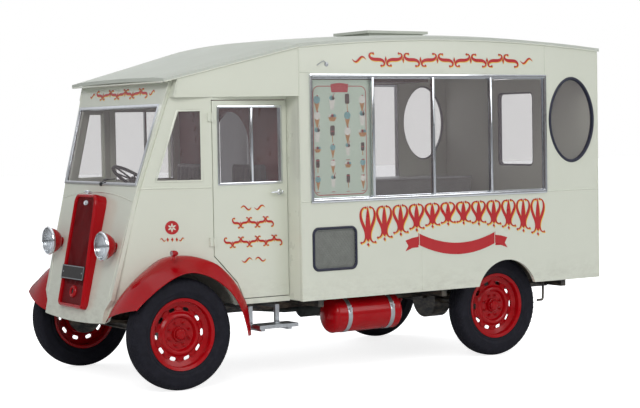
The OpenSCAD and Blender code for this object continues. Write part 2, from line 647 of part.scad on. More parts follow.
pane_t = 6;
bar_w = 26;
module serving_window(side) placed() color("#c9ced1") on_side(side) {
    a = [window_y0, sill_z];
    b = [window_y1, window_z1];
    g = [8 + clearance, 8 + clearance];
    across(body_x + clearance, body_x + 16) frame_ring(a, b, 8, frame_w);
    across(body_x - wall, body_x + 8) frame_ring(a + g, b - g, 6, frame_w - 8);
    across(body_x - 20, body_x - 20 + pane_t) panel(a + 3 * g, b - 3 * g, 2);
    for (k = [1:bays - 1]) let (y = window_y0 + (window_y1 - window_y0) * k / bays)
        across(body_x - 24, body_x + 12)
            translate([y - bar_w / 2, sill_z + 12]) square([bar_w, window_h - 24]);
}
module serving_window_left() serving_window(1);
module serving_window_right() serving_window(-1);
module oval_windows() placed() color("#1f2540") both_sides() {
    across(body_x + clearance, body_x + 8) difference() { oval(0); oval(-24); }
    across(body_x - wall, body_x + 4) difference() { oval(-14 - clearance); oval(-24); }
    across(body_x - 18, body_x - 18 + pane_t) oval(-20);
}
module vent_grilles() placed() color("#b9bdb9") both_sides() {
    across(body_x + clearance, body_x + 8) difference() { vent_panel(0); vent_panel(-20); }
    across(body_x - 16, body_x + 2) vent_panel(-14 - clearance);
}
module menu_board() placed() color("#cfe0cf") {
    bay = (window_y1 - window_y0) / bays;
    across(body_x - wall - 14, body_x - wall - 4)
        panel([window_y0 + 20, sill_z - 10], [window_y0 + bay + 4, window_z1 - 44], 4);
    for (z = [sill_z + 20, window_z1 - 90]) across(body_x - wall - 5, body_x - wall)
        translate([window_y0 + 24, z]) square([bay - 40, 16]);
}

// ---- Doors ----
door_glass_y0 = door_front + 38;
door_glass_y1 = body_front - 52;
door_glass_z0 = waist_z - 2;
door_glass_z1 = door_top - 38;
module door(side) placed() color("#d6d8c8") on_side(side) {
    across(cab_x - door_t, cab_x) difference() {
        door_outline(0);
        panel([door_glass_y0 + 8, door_glass_z0 + 8], [door_glass_y1 - 8, door_glass_z1 - 8], 6);
    }
    for (z = [1092, 2027]) {
        block([cab_x - 1, door_front - 1, z - 32], [cab_x + 4, door_front + 36, z + 32]);
        translate([cab_x + 9, door_front - 3, z - 32]) cylinder(r = 8, h = 64);
    }
    // handle: boss and lever
    rod_x(cab_x - 1, cab_x + 38, 9, body_front - 75, 1448);
    block([cab_x + 30, body_front - 172, 1441], [cab_x + 42, body_front - 66, 1456]);
}
module door_left() door(1);
module door_right() door(-1);
module door_window(side) placed() color("#c9ced1") on_side(side) {
    a = [door_glass_y0, door_glass_z0];
    b = [door_glass_y1, door_glass_z1];
    g = [8 + clearance, 8 + clearance];
    across(cab_x + clearance, cab_x + 12) frame_ring(a, b, 8, 24);
    across(cab_x - door_t + 4, cab_x + 6) frame_ring(a + g, b - g, 6, 16);
    across(cab_x - 18, cab_x - 12) panel(a + 2 * g, b - 2 * g, 2);
    across(cab_x - 24, cab_x + 8) translate([(door_glass_y0 + door_glass_y1) / 2, door_glass_z0 + 10])
        square([20, door_glass_z1 - door_glass_z0 - 20]);
}
module door_window_left() door_window(1);
module door_window_right() door_window(-1);

// ---- Fittings under the body ----
tank_y = body_front + 350;
tank_x = body_x - 60 - tank_d / 2;
tank_z = floor_z - 8 - tank_d / 2 - 6;
module gas_tank() placed() color("#b3121d") {
    translate([tank_x, tank_y + tank_l, tank_z]) rotate([90, 0, 0]) rotate_extrude($fn = 64)
        polygon([[0, -14], [tank_d * 0.34, -8], [tank_d / 2, 14], [tank_d / 2, tank_l - 14],
            [tank_d * 0.34, tank_l + 8], [0, tank_l + 14]]);
    // cradles up to the floor
    for (y = [tank_y + 130, tank_y + tank_l - 110])
        block([tank_x - 40, y - 20, tank_z], [tank_x + 40, y + 20, floor_z]);
}
module step_plates() placed() color("#b9bec0") both_sides() {
    block([cab_x - 24, 600, 418], [cab_x + 140, body_front - 14, 446]);
    for (y = [640, 880]) {
        block([rail_x + rail_w / 2 + clearance, y - 18, floor_z - 60], [cab_x - 60, y + 18, floor_z - 36]);
        block([cab_x - 84, y - 18, 400], [cab_x - 60, y + 18, floor_z - 36]);
        block([cab_x - 84, y - 18, 400], [cab_x + 120, y + 18, 418.5]);
    }
}

// ---- Interior ----
work_z = floor_top + 830;
ledge_w = body_x - wall - rear_box_x + 34;
module counter() placed() color("#b8bcbd") {
    y0 = body_front + wall + 40;
    y1 = body_rear - wall - 120;
    // cupboards stand clear of the wheel boxes, with a worktop over them
    difference() {
        block([-body_x + wall + 2, y0, floor_top], [-body_x + wall + counter_w, y1, work_z - 30]);
        block([-body_x + wall + 20, y0 + 18, floor_top + 20],
            [-body_x + wall + counter_w - 18, y1 - 18, work_z - 48]);
        rod_x(-body_x, -rear_box_x + 6, rear_box_r + box_t + 6, wheelbase, axle_z);
    }
    block([-body_x + wall + 2, y0, work_z - 30.5], [-body_x + wall + counter_w + 20, y1, work_z]);
    // ledge under the serving window
    block([body_x - wall - ledge_w, window_y0 + 640, sill_z - 50],
        [body_x - wall - 2, window_y1, sill_z - 24]);
    for (y = [window_y0 + 660, window_y1 - 40])
        block([body_x - wall - ledge_w, y, floor_top], [body_x - wall - ledge_w + 30, y + 30, sill_z - 49]);
}
machine_y = body_front + 480;
module ice_cream_machine() placed() color("#c3c7c8") {
    x0 = -body_x + wall + 40;
    block([x0, machine_y, work_z + clearance], [x0 + 460, machine_y + 420, work_z + 620]);
    block([x0 + 459, machine_y + 60, work_z + 340], [x0 + 520, machine_y + 360, work_z + 560]);
    block([x0 + 459, machine_y + 60, work_z + 20], [x0 + 560, machine_y + 360, work_z + 50]);
    for (y = [machine_y + 130, machine_y + 290])
        translate([x0 + 492, y, work_z + 280]) cylinder(r = 16, h = 70);
}
module overhead_shelf() placed() color("#6b625a") {
    z = roof_edge_z - 280;
    y0 = body_front + wall + 420;
    y1 = body_rear - wall - 500;
    block([-body_x + wall + clearance, y0, z], [-body_x + wall + 380, y1, z + 20]);
    block([-body_x + wall + 360, y0, z], [-body_x + wall + 380, y1, z + 90]);
    for (y = [y0, y1 - 24])
        block([-body_x + wall + 2, y, z], [-body_x + wall + 380, y + 24, z + 110]);
}
module seats() placed() color("#3a3d40") for (s = [-1, 1]) {
    x = s * (cover_x + 255);
    block([x - 200, body_front - 440, floor_top + clearance], [x + 200, body_front - 60, floor_top + 330]);
    block([x - 220, body_front - 470, floor_top + 330], [x + 220, body_front - 50, floor_top + 430]);
    block([x - 220, body_front - 150, floor_top + 430], [x + 220, body_front - 60, floor_top + 1020]);
}
dash_z = waist_z - 26;
module dashboard() placed() color("#2e2b29") intersection() {
    across(-700, 700) polygon([
        [front_y(dash_z - 150) + front_t, dash_z - 150], [front_y(dash_z) + front_t, dash_z],
        [front_y(dash_z) + 190, dash_z], [front_y(dash_z) + 190, dash_z - 110]]);
    upright(1200, 1600) polygon([for (s = [1, -1], y = s > 0 ? [100, -300] : [-300, 100])
        [s * (side_x(y) - (wall + 1) * taper_length), y]]);
}
column_x = -(cover_x + 215);
column_y = 300;
column_z = 1535;
column_rise = 55;
column_l = (column_z - floor_top) / sin(column_rise) - 40;
module on_column() translate([column_x, column_y, column_z])
    rotate([column_rise - 90, 0, 0]) rotate([180, 0, 0]) children();
module steering_column() placed() color("#1d1e20") {
    on_column() {
        translate([0, 0, 40]) cylinder(r = 22, h = column_l - 40);
        cylinder(r = 9, h = 41);
    }
    // foot on the floor
    translate([column_x - 60, front_y(floor_top + 60) + front_t + 4, floor_top])
        cube([120, 120, 60]);
}
module steering_wheel() placed() color("#17181a") on_column() {
    rotate_extrude($fn = 72) translate([steering_wheel_d / 2 - 13, 0]) circle(13, $fn = 24);
    difference() {
        translate([0, 0, -16]) cylinder(r = 34, h = 52);
        cylinder(r = 9 + clearance, h = 60);
    }
    for (a = [90, 210, 330]) rotate([0, 0, a]) translate([20, 0, 4]) rotate([0, 90, 0])
        cylinder(r = 7, h = steering_wheel_d / 2 - 33);
}
lamp_rear_z = 760;
module rear_lamps() placed() color("#8f1018") both_sides() {
    translate([body_x - 120, body_rear + clearance, lamp_rear_z]) rotate([-90, 0, 0])
        rotate_extrude($fn = 48) polygon([[0, 0], [42, 0], [42, 12], [34, 18], [0, 19]]);
}
plate_w = 390;
plate_h = 108;
module number_plates() placed() color("#101010") {
    on_nose() on_shell() translate([0, shell_l - 638, 2 * clearance]) linear_extrude(8)
        panel([-plate_w / 2, -plate_h / 2], [plate_w / 2, plate_h / 2], 6);
    lengthways(body_rear + clearance, body_rear + 8) translate([body_x - 420, 1000])
        panel([-130, -90], [130, 90], 6);
}

chassis();
engine_block();
drive_shaft();
leaf_springs();
front_axle();
rear_axle();
knuckle_left();
knuckle_right();
wheel_front_left();
wheel_front_right();
wheel_rear_left();
wheel_rear_right();
tyre_front_left();
tyre_front_right();
tyre_rear_left();
tyre_rear_right();
floor();
nose_panel();
windscreen_surround();
windscreen();
quarter_lights();
cab_side_left();
cab_side_right();
wing_left();
wing_right();
radiator_shell();
headlamps();
bulkhead();
body_side_left();
body_side_right();
rear_panel();
roof();
roof_vent();
serving_window_left();
serving_window_right();
oval_windows();
menu_board();
vent_grilles();
rear_door();
rear_door_window();
door_left();
door_right();
door_window_left();
door_window_right();
gas_tank();
step_plates();
counter();
ice_cream_machine();
overhead_shelf();
seats();
dashboard();
steering_column();
steering_wheel();
rear_lamps();
number_plates();
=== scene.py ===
import bpy
import bmesh
import math
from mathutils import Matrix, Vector


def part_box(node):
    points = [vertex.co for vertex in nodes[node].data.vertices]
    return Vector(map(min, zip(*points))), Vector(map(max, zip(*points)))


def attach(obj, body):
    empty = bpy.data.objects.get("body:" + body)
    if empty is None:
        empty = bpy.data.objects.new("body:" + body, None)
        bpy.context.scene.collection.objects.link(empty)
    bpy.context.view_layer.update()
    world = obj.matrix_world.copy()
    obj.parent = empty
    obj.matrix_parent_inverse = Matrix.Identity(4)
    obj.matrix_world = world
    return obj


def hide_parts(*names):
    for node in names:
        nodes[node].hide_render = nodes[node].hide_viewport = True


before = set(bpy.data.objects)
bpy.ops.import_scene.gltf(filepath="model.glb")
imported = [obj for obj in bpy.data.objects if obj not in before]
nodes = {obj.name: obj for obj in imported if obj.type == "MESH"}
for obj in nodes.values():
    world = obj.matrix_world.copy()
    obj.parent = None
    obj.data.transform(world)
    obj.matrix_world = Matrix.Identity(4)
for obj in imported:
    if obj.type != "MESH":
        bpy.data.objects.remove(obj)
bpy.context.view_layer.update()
scene = bpy.context.scene


def box(n):
    lo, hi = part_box(n)
    return Vector(lo), Vector(hi)


# Y of the front axle; every Y below is measured from it
lo, hi = box("front_axle")
FA = (lo.y + hi.y) / 2
BODY_X = box("body_side_left")[1].x
CAB_X = 0.880
WAIST, FOOT_Y = 1.516, -0.213


# ---------------------------------------------------------------- materials
def linear(c):
    return tuple((v / 12.92 if v <= 0.04045 else ((v + 0.055) / 1.055) ** 2.4) for v in c)


def rgb(r, g, b):
    return linear((r / 255, g / 255, b / 255)) + (1,)


class Mat:
    def __init__(self, name, color, rough, metallic=0.0, **sockets):
        self.m = bpy.data.materials.new(name)
        self.m.use_nodes = True
        self.t = self.m.node_tree
        self.b = self.t.nodes["Principled BSDF"]
        self.set(Metallic=metallic, **sockets)
        self.color, self.rough = color, rough
        self.b.inputs["Base Color"].default_value = color
        self.b.inputs["Roughness"].default_value = rough
        self.co = self.new("ShaderNodeTexCoord").outputs["Object"]

    def set(self, **sockets):
        for k, v in sockets.items():
            self.b.inputs[k.replace("_", " ")].default_value = v

    def new(self, kind, **props):
        n = self.t.nodes.new(kind)
        for k, v in props.items():
            setattr(n, k, v)
        return n

    def link(self, a, b):
        self.t.links.new(a, b)

    def scaled(self, s):
        m = self.new("ShaderNodeMapping")
        m.inputs["Scale"].default_value = s
        self.link(self.co, m.inputs["Vector"])
        return m.outputs["Vector"]

    def noise(self, scale, detail=4, rough=0.5, stretch=None):
        n = self.new("ShaderNodeTexNoise")
        n.inputs["Scale"].default_value = scale
        n.inputs["Detail"].default_value = detail
        n.inputs["Roughness"].default_value = rough
        self.link(self.scaled(stretch) if stretch else self.co, n.inputs["Vector"])
        return n.outputs["Fac"]

    def ramp(self, fac, stops):
        r = self.new("ShaderNodeValToRGB")
        while len(r.color_ramp.elements) < len(stops):
            r.color_ramp.elements.new(0.5)
        for e, (p, c) in zip(r.color_ramp.elements, stops):
            e.position = p
            e.color = c if len(c) == 4 else tuple(c) + (1,)
        self.link(fac, r.inputs["Fac"])
        return r.outputs["Color"]

    def range(self, fac, a, b, to_a, to_b):
        r = self.new("ShaderNodeMapRange")
        for k, v in zip(("From Min", "From Max", "To Min", "To Max"), (a, b, to_a, to_b)):
            r.inputs[k].default_value = v
        self.link(fac, r.inputs["Value"])
        return r.outputs["Result"]

    def mottle(self, scale, amount, dark=0.85, detail=5):
        c = self.color
        d = tuple(v * dark for v in c[:3]) + (1,)
        self.link(self.ramp(self.noise(scale, detail, 0.6), [(0.5 - amount, d), (0.5 + amount, c)]),
                  self.b.inputs["Base Color"])
        return self

    def rough_by(self, scale, spread, stretch=None):
        n = self.noise(scale, 4, 0.6, stretch)
        self.link(self.range(n, 0.3, 0.7, self.rough - spread, self.rough + spread),
                  self.b.inputs["Roughness"])
        return self

    def bump(self, height, strength, distance):
        b = self.new("ShaderNodeBump")
        b.inputs["Strength"].default_value = strength
        b.inputs["Distance"].default_value = distance
        self.link(height, b.inputs["Height"])
        self.link(b.outputs["Normal"], self.b.inputs["Normal"])
        return self


def paint(name, color, rough=0.22, coat=0.5, dark=0.94, dirt=None):
    """Brushed coach paint: slight colour variation, faint waviness, and road dust low down."""
    m = Mat(name, color, rough, Coat_Weight=coat, Coat_Roughness=0.08)
    tone = m.ramp(m.noise(1.6, 6, 0.6), [(0.35, tuple(v * dark for v in color[:3]) + (1,)), (0.65, color)])
    if dirt:
        sep = m.new("ShaderNodeSeparateXYZ")
        m.link(m.co, sep.inputs["Vector"])
        low = m.range(sep.outputs["Z"], 0.45, 0.85, 1.0, 0.0)
        mul = m.new("ShaderNodeMath", operation="MULTIPLY")
        m.link(low, mul.inputs[0])
        m.link(m.range(m.noise(9, 6, 0.7, (1, 1, 2.5)), 0.42, 0.72, 0.0, dirt), mul.inputs[1])
        mix = m.new("ShaderNodeMix", data_type="RGBA")
        m.link(mul.outputs[0], mix.inputs["Factor"])
        m.link(tone, mix.inputs["A"])
        mix.inputs["B"].default_value = rgb(128, 116, 98)
        tone = mix.outputs["Result"]
    m.link(tone, m.b.inputs["Base Color"])
    m.rough_by(5, 0.04)
    m.bump(m.noise(7, 3, 0.5), 0.06, 0.004)
    return m.m


CREAM = paint("cream_paint", rgb(220, 223, 208), 0.2, 0.4, 0.975, 0.35)
ROOF = paint("roof_paint", rgb(196, 200, 190), 0.6, 0.0, 0.95)
ROOF.node_tree.nodes["Principled BSDF"].inputs["Specular IOR Level"].default_value = 0.1
CREAM_IN = paint("cream_inside", rgb(214, 213, 198), 0.45, 0.1, 0.93)
RED = paint("red_paint", rgb(176, 0, 14), 0.20, 0.16, 0.80, 0.05)
RED.node_tree.nodes["Principled BSDF"].inputs["Specular IOR Level"].default_value = 0.16
m = Mat("bulkhead_red", rgb(112, 22, 26), 0.3, Coat_Weight=0.4)
sep = m.new("ShaderNodeSeparateXYZ")
m.link(m.co, sep.inputs["Vector"])
side_x = m.new("ShaderNodeMath", operation="ABSOLUTE")
m.link(sep.outputs["X"], side_x.inputs[0])
outer = m.new("ShaderNodeMath", operation="GREATER_THAN")
outer.inputs[1].default_value = 0.852
m.link(side_x.outputs[0], outer.inputs[0])
mix = m.new("ShaderNodeMix", data_type="RGBA")
m.link(outer.outputs[0], mix.inputs["Factor"])
m.link(m.ramp(m.noise(2, 5), [(0.35, rgb(98, 18, 24)), (0.65, rgb(124, 26, 30))]), mix.inputs["A"])
m.link(m.ramp(m.noise(1.6, 6), [(0.35, rgb(215, 218, 203)), (0.65, rgb(220, 223, 208))]), mix.inputs["B"])
m.link(mix.outputs["Result"], m.b.inputs["Base Color"])
m.rough_by(6, 0.05).bump(m.noise(8, 3), 0.06, 0.003)
BULK_RED = m.m
BLACK = paint("black_chassis", rgb(30, 30, 32), 0.42, 0.1, 0.7, 0.9)
GOLD = paint("gold_paint", rgb(238, 196, 74), 0.35, 0.2, 0.92)
RED_SIGN = paint("sign_red", rgb(190, 30, 36), 0.3, 0.3, 0.9)

m = Mat("tyre_rubber", rgb(31, 33, 42), 0.72, Specular_IOR_Level=0.2)
m.link(m.ramp(m.noise(14, 7, 0.7),
        [(0.3, rgb(20, 20, 27)), (0.62, rgb(29, 29, 38)), (0.85, rgb(46, 45, 47))]),
       m.b.inputs["Base Color"])
m.rough_by(22, 0.08).bump(m.noise(130, 5, 0.6), 0.25, 0.0012)
TYRE = m.m

m = Mat("chrome", rgb(225, 228, 232), 0.1, 1.0)
m.mottle(30, 0.2, 0.9).rough_by(24, 0.035).bump(m.noise(18, 3), 0.05, 0.002)
CHROME = m.m
m = Mat("bright_alloy", rgb(196, 200, 204), 0.34, 1.0)
m.mottle(24, 0.2, 0.8).rough_by(60, 0.08, (1, 1, 12)).bump(m.noise(90, 3, 0.6, (1, 1, 8)), 0.12, 0.001)
ALLOY = m.m
m = Mat("stainless", rgb(190, 193, 196), 0.3, 1.0)
m.mottle(5, 0.25, 0.82).rough_by(50, 0.08, (1, 1, 22)).bump(m.noise(70, 4, 0.6, (1, 1, 26)), 0.1, 0.0006)
STEEL = m.m
m = Mat("engine_iron", rgb(70, 76, 74), 0.62, 0.4)
m.mottle(12, 0.2, 0.5).rough_by(30, 0.12).bump(m.noise(60, 6, 0.7), 0.4, 0.002)
IRON = m.m
m = Mat("seal_rubber", rgb(24, 28, 52), 0.5)
m.mottle(20, 0.2, 0.7).rough_by(30, 0.08).bump(m.noise(160, 3), 0.15, 0.0006)
NAVY = m.m
m = Mat("black_plastic", rgb(22, 22, 24), 0.34)
m.mottle(12, 0.2, 0.7).rough_by(30, 0.08).bump(m.noise(220, 2), 0.1, 0.0004)
PLASTIC = m.m
m = Mat("floor_covering", rgb(112, 108, 100), 0.7)
wave = m.new("ShaderNodeTexWave", bands_direction="X")
wave.inputs["Scale"].default_value = 42
wave.inputs["Distortion"].default_value = 0.0
m.link(m.co, wave.inputs["Vector"])
m.mottle(6, 0.25, 0.7).rough_by(20, 0.08).bump(wave.outputs["Fac"], 0.35, 0.0015)
LINO = m.m
m = Mat("shelf_wood", rgb(82, 56, 40), 0.5)
grain = m.noise(5, 6, 0.7, (9, 1, 9))
m.link(m.ramp(grain, [(0.3, rgb(58, 38, 28)), (0.55, rgb(96, 66, 46)), (0.75, rgb(74, 50, 36))]),
       m.b.inputs["Base Color"])
m.rough_by(18, 0.08).bump(grain, 0.25, 0.001)
WOOD = m.m
m = Mat("seat_leather", rgb(58, 60, 64), 0.46, Sheen_Weight=0.1)
cell = m.new("ShaderNodeTexVoronoi", feature="DISTANCE_TO_EDGE")
cell.inputs["Scale"].default_value = 210
m.link(m.co, cell.inputs["Vector"])
m.mottle(9, 0.2, 0.72).rough_by(30, 0.07)
m.bump(m.range(cell.outputs["Distance"], 0.0, 0.25, 0.0, 1.0), 0.35, 0.0009)
LEATHER = m.m
m = Mat("lamp_red", rgb(150, 10, 18), 0.12, Transmission_Weight=0.25, Coat_Weight=0.5)
m.mottle(30, 0.2, 0.75).bump(m.noise(120, 1), 0.3, 0.001)
LENS_RED = m.m
m = Mat("plate_black", rgb(16, 16, 18), 0.35, Coat_Weight=0.3)
m.mottle(16, 0.2, 0.7).rough_by(30, 0.06).bump(m.noise(90, 3), 0.12, 0.0006)
PLATE = m.m
m = Mat("menu_panel", rgb(204, 222, 204), 0.4, Coat_Weight=0.2)
m.mottle(3, 0.25, 0.93).rough_by(14, 0.05).bump(m.noise(80, 3), 0.06, 0.0006)
BOARD = m.m
m = Mat("expanded_metal", rgb(150, 154, 150), 0.45, 0.8)
m.mottle(30, 0.25, 0.7).rough_by(30, 0.08).bump(m.noise(120, 3), 0.2, 0.0006)
MESH = m.m
# painted shade: a flat dark grey stands in for the shade inside the starting-handle hole
m = Mat("painted_hole_shade", rgb(46, 46, 48), 0.9)
m.mottle(8, 0.2, 0.6).rough_by(12, 0.05)
HOLE_SHADE = m.m


def glass(name, color, painted_reflection):
    """A thin pane: clear but for a faint painted reflection, a film of its base colour over each face."""
    m = Mat(name, color, 0.04, Alpha=painted_reflection)
    m.mottle(1.2, 0.15, 0.94).rough_by(4, 0.02).bump(m.noise(2.2, 2), 0.03, 0.01)
    return m.m


# painted reflection: a pale mauve film on the window panes and a whitish one on the lamp glass stand in for
# reflections
GLASS = glass("window_glass", rgb(176, 166, 168), 0.15)
LENS = glass("lamp_glass", rgb(232, 236, 240), 0.30)

NODE_MATERIALS = {
    CREAM: ["nose_panel", "windscreen_surround", "cab_side_left", "cab_side_right", "body_side_left",
            "body_side_right", "rear_panel", "rear_door", "door_left", "door_right"],
    ROOF: ["roof", "roof_vent"],
    RED: ["wheel_front_left", "wheel_front_right", "wheel_rear_left", "wheel_rear_right", "wing_left",
          "wing_right", "radiator_shell", "headlamps", "gas_tank"],
    BLACK: ["chassis", "drive_shaft", "leaf_springs", "front_axle", "rear_axle", "knuckle_left",
            "knuckle_right", "steering_column"],
    IRON: ["engine_block"], LINO: ["floor"], BULK_RED: ["bulkhead"], ALLOY: ["step_plates"],
    STEEL: ["counter", "ice_cream_machine"], WOOD: ["overhead_shelf"],
            PLASTIC: ["dashboard", "steering_wheel"],
    LENS_RED: ["rear_lamps"], PLATE: ["number_plates"], BOARD: ["menu_board"], MESH: ["vent_grilles"],
    NAVY: ["oval_windows"], LEATHER: ["seats"], TYRE: ["tyre_front_left", "tyre_front_right",
                                                       "tyre_rear_left", "tyre_rear_right"],
    GLASS: ["windscreen", "quarter_lights", "serving_window_left", "serving_window_right",
            "rear_door_window", "door_window_left", "door_window_right"]}
for mat, names in NODE_MATERIALS.items():
    for n in names:
        o = nodes[n]
        o.data.materials.clear()
        o.data.materials.append(mat)
        for s in o.material_slots:
            s.link = "OBJECT"
            s.material = mat


# ---------------------------------------------------------------- shapes
class Shape:
    """Gathers parts of one piece, in metres, with Y measured from the front axle."""

    def __init__(self):
        self.v, self.f = [], []

    def add(self, verts, faces):
        n = len(self.v)
        self.v += [Vector(p) for p in verts]
        self.f += [[i + n for i in f] for f in faces]
        return self

    def prism(self, outline, step):
        """A closed outline of 3-D points pushed along step."""
        n, step = len(outline), Vector(step)
        pts = [Vector(p) for p in outline]
        side = [[i, (i + 1) % n, n + (i + 1) % n, n + i] for i in range(n)]
        return self.add(pts + [p + step for p in pts],
                        side + [list(range(n))[::-1], list(range(n, 2 * n))])

    def ring(self, outer, inner, step):
        n, step = len(outer), Vector(step)
        o, i = [Vector(p) for p in outer], [Vector(p) for p in inner]
        pts = o + i + [p + step for p in o] + [p + step for p in i]
        f = []
        for a in range(n):
            b = (a + 1) % n
            f += [[a, b, n + b, n + a], [2 * n + a, 3 * n + a, 3 * n + b, 2 * n + b],
                  [a, 2 * n + a, 2 * n + b, b], [n + a, n + b, 3 * n + b, 3 * n + a]]
        return self.add(pts, f)

    def block(self, a, b):
        (x0, y0, z0), (x1, y1, z1) = a, b
        return self.prism([(x0, y0, z0), (x1, y0, z0), (x1, y1, z0), (x0, y1, z0)], (0, 0, z1 - z0))

    def lathe(self, profile, centre, axis, n=48, up=None):
        """profile is (radius, distance along axis); ends at radius 0 are closed."""
        axis = Vector(axis).normalized()
        u = (Vector(up) if up else (Vector((0, 0, 1)) if abs(axis.z) < 0.9 else Vector((1, 0, 0))))
        u = (u - axis * u.dot(axis)).normalized()
        w = axis.cross(u)
        c = Vector(centre)
        pts = [c + axis * h + (u * math.cos(2 * math.pi * k / n) + w * math.sin(2 * math.pi * k / n)) * r
               for r, h in profile for k in range(n)]
        f = [[j * n + k, j * n + (k + 1) % n, (j + 1) * n + (k + 1) % n, (j + 1) * n + k]
             for j in range(len(profile) - 1) for k in range(n)]
        return self.add(pts, f)

    def tube(self, path, r, n=12, closed=False, caps=True):
        pts = [Vector(p) for p in path]
        m, rings, prev = len(pts), [], None
        for i, p in enumerate(pts):
            a = pts[(i - 1) % m] if closed or i else p
            b = pts[(i + 1) % m] if closed or i < m - 1 else p
            t = (b - a).normalized()
            side = prev if prev else (Vector((0, 0, 1)) if abs(t.z) < 0.9 else Vector((1, 0, 0)))
            side = (side - t * side.dot(t)).normalized()
            prev = side
            w = t.cross(side)
            rad = r(i / (m - 1)) if callable(r) else r
            rings.append([p + (side * math.cos(2 * math.pi * k / n) + w * math.sin(2 * math.pi * k / n)) * rad
                          for k in range(n)])
        f = []
        for j in range(m if closed else m - 1):
            q = (j + 1) % m
            f += [[j * n + k, j * n + (k + 1) % n, q * n + (k + 1) % n, q * n + k] for k in range(n)]
        if caps and not closed:
            f += [list(range(n))[::-1], [(m - 1) * n + k for k in range(n)]]
        return self.add([p for ring in rings for p in ring], f)

    def done(self, name, mat, body="root", slot=None, replaces=(), bevel=0.0, sharp=32, sub=0, offset=True):
        bm = bmesh.new()
        vs = [bm.verts.new((p.x, p.y + (FA if offset else 0), p.z)) for p in self.v]
        for f in self.f:
            try:
                bm.faces.new([vs[i] for i in f])
            except ValueError:
                pass
        bmesh.ops.remove_doubles(bm, verts=bm.verts, dist=0.00001)
        bmesh.ops.recalc_face_normals(bm, faces=bm.faces)
        if bevel:
            edges = [e for e in bm.edges if len(e.link_faces) == 2
                     and e.calc_face_angle(0) > math.radians(38)]
            bmesh.ops.bevel(bm, geom=edges, offset=bevel, segments=2, profile=0.5, affect="EDGES",
                            clamp_overlap=True)
        for f in bm.faces:
            f.smooth = True
        for e in bm.edges:
            e.smooth = not (len(e.link_faces) == 2 and e.calc_face_angle(0) > math.radians(sharp))
        me = bpy.data.meshes.new(name)
        bm.to_mesh(me)
        bm.free()
        o = bpy.data.objects.new(name, me)
        scene.collection.objects.link(o)
        me.materials.append(mat)
        if sub:
            mod = o.modifiers.new("smooth", "SUBSURF")
            mod.levels = mod.render_levels = sub
        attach(o, body)
        if replaces:
            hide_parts(*replaces)
        return o


class Plane:
    """A flat face with its own two directions; point(a, b, c) is c outside it."""

    def __init__(self, origin, u, v):
        self.o, self.u, self.v = Vector(origin), Vector(u).normalized(), Vector(v).normalized()
        self.n = self.u.cross(self.v)

    def point(self, a, b, c=0.0):
        return self.o + self.u * a + self.v * b + self.n * c

    def line(self, pts, c=0.0):
        return [self.point(a, b, c) for a, b in pts]


NOSE_LEAN, SCREEN_LEAN = math.radians(14.2), math.radians(16.3)
SIDE = {1: Plane((BODY_X, 0, 0), (0, 1, 0), (0, 0, 1)), -1: Plane((-BODY_X, 0, 0), (0, -1, 0), (0, 0, 1))}
DOOR = {1: Plane((CAB_X, 0, 0), (0, 1, 0), (0, 0, 1)), -1: Plane((-CAB_X, 0, 0), (0, -1, 0), (0, 0, 1))}
NOSE = Plane((0, FOOT_Y, WAIST), (1, 0, 0), (0, math.sin(NOSE_LEAN), math.cos(NOSE_LEAN)))
SCREEN = Plane((0, FOOT_Y, WAIST), (1, 0, 0), (0, math.sin(SCREEN_LEAN), math.cos(SCREEN_LEAN)))
TAPER = {1: Plane((CAB_X, 0.301, 0), (0.48, 1, 0), (0, 0, 1)),
         -1: Plane((-CAB_X, 0.301, 0), (0.48, -1, 0), (0, 0, 1))}


def rounded(x0, y0, x1, y1, r, n=5):
    pts = []
    for cx, cy, a0 in ((x1 - r, y0 + r, -90), (x1 - r, y1 - r, 0), (x0 + r, y1 - r, 90),
            (x0 + r, y0 + r, 180)):
        pts += [(cx + r * math.cos(math.radians(a0 + 90 * k / n)),
                cy + r * math.sin(math.radians(a0 + 90 * k / n)))
                for k in range(n + 1)]
    return pts


# ---------------------------------------------------------------- camera, lights, floor
def set_camera(az, el, roll, pos, lens):
    a, e, r = (math.radians(t) for t in (az, el, roll))
    d = Vector((-math.sin(a) * math.cos(e), math.cos(a) * math.cos(e), -math.sin(e)))
    right0 = Vector((math.cos(a), math.sin(a), 0))
    up0 = right0.cross(d)
    right = right0 * math.cos(r) + up0 * math.sin(r)
    up = up0 * math.cos(r) - right0 * math.sin(r)
    cam = bpy.data.objects.new("camera", bpy.data.cameras.new("camera"))
    scene.collection.objects.link(cam)
    m = cam.matrix_world.copy()
    for row in range(3):
        m[row][0], m[row][1], m[row][2], m[row][3] = right[row], up[row], -d[row], pos[row]
    cam.matrix_world = m
    cam.data.lens, cam.data.sensor_width = lens, 36
    cam.data.clip_end = 200
    scene.camera = cam


set_camera(56.74095, 2.54592, -0.99592, (11.72991, -5.86269 + FA, 1.91644), 93.5325)


def area(name, pos, target, size, power, color=(1, 1, 1)):
    d = bpy.data.lights.new(name, "AREA")
    d.shape, d.size, d.size_y = "RECTANGLE", size[0], size[1]
    d.energy, d.color = power, color
    o = bpy.data.objects.new(name, d)
    o.location = pos
    o.rotation_euler = (Vector(target) - Vector(pos)).to_track_quat("-Z", "Y").to_euler()
    scene.collection.objects.link(o)


area("key", (7.5, -7.5, 6.5), (0, 0, 1.2), (6, 4), 400, (1, 0.99, 0.97))
area("side", (9, 4, 5), (0, 0.5, 1.2), (6, 4), 200)
area("top", (0, 0, 8), (0, 0, 1), (8, 8), 150)
area("far", (-8, 2, 5), (0, 0, 1.2), (6, 4), 150)
area("back", (0, 9, 5), (0, 1, 1.2), (6, 4), 150)

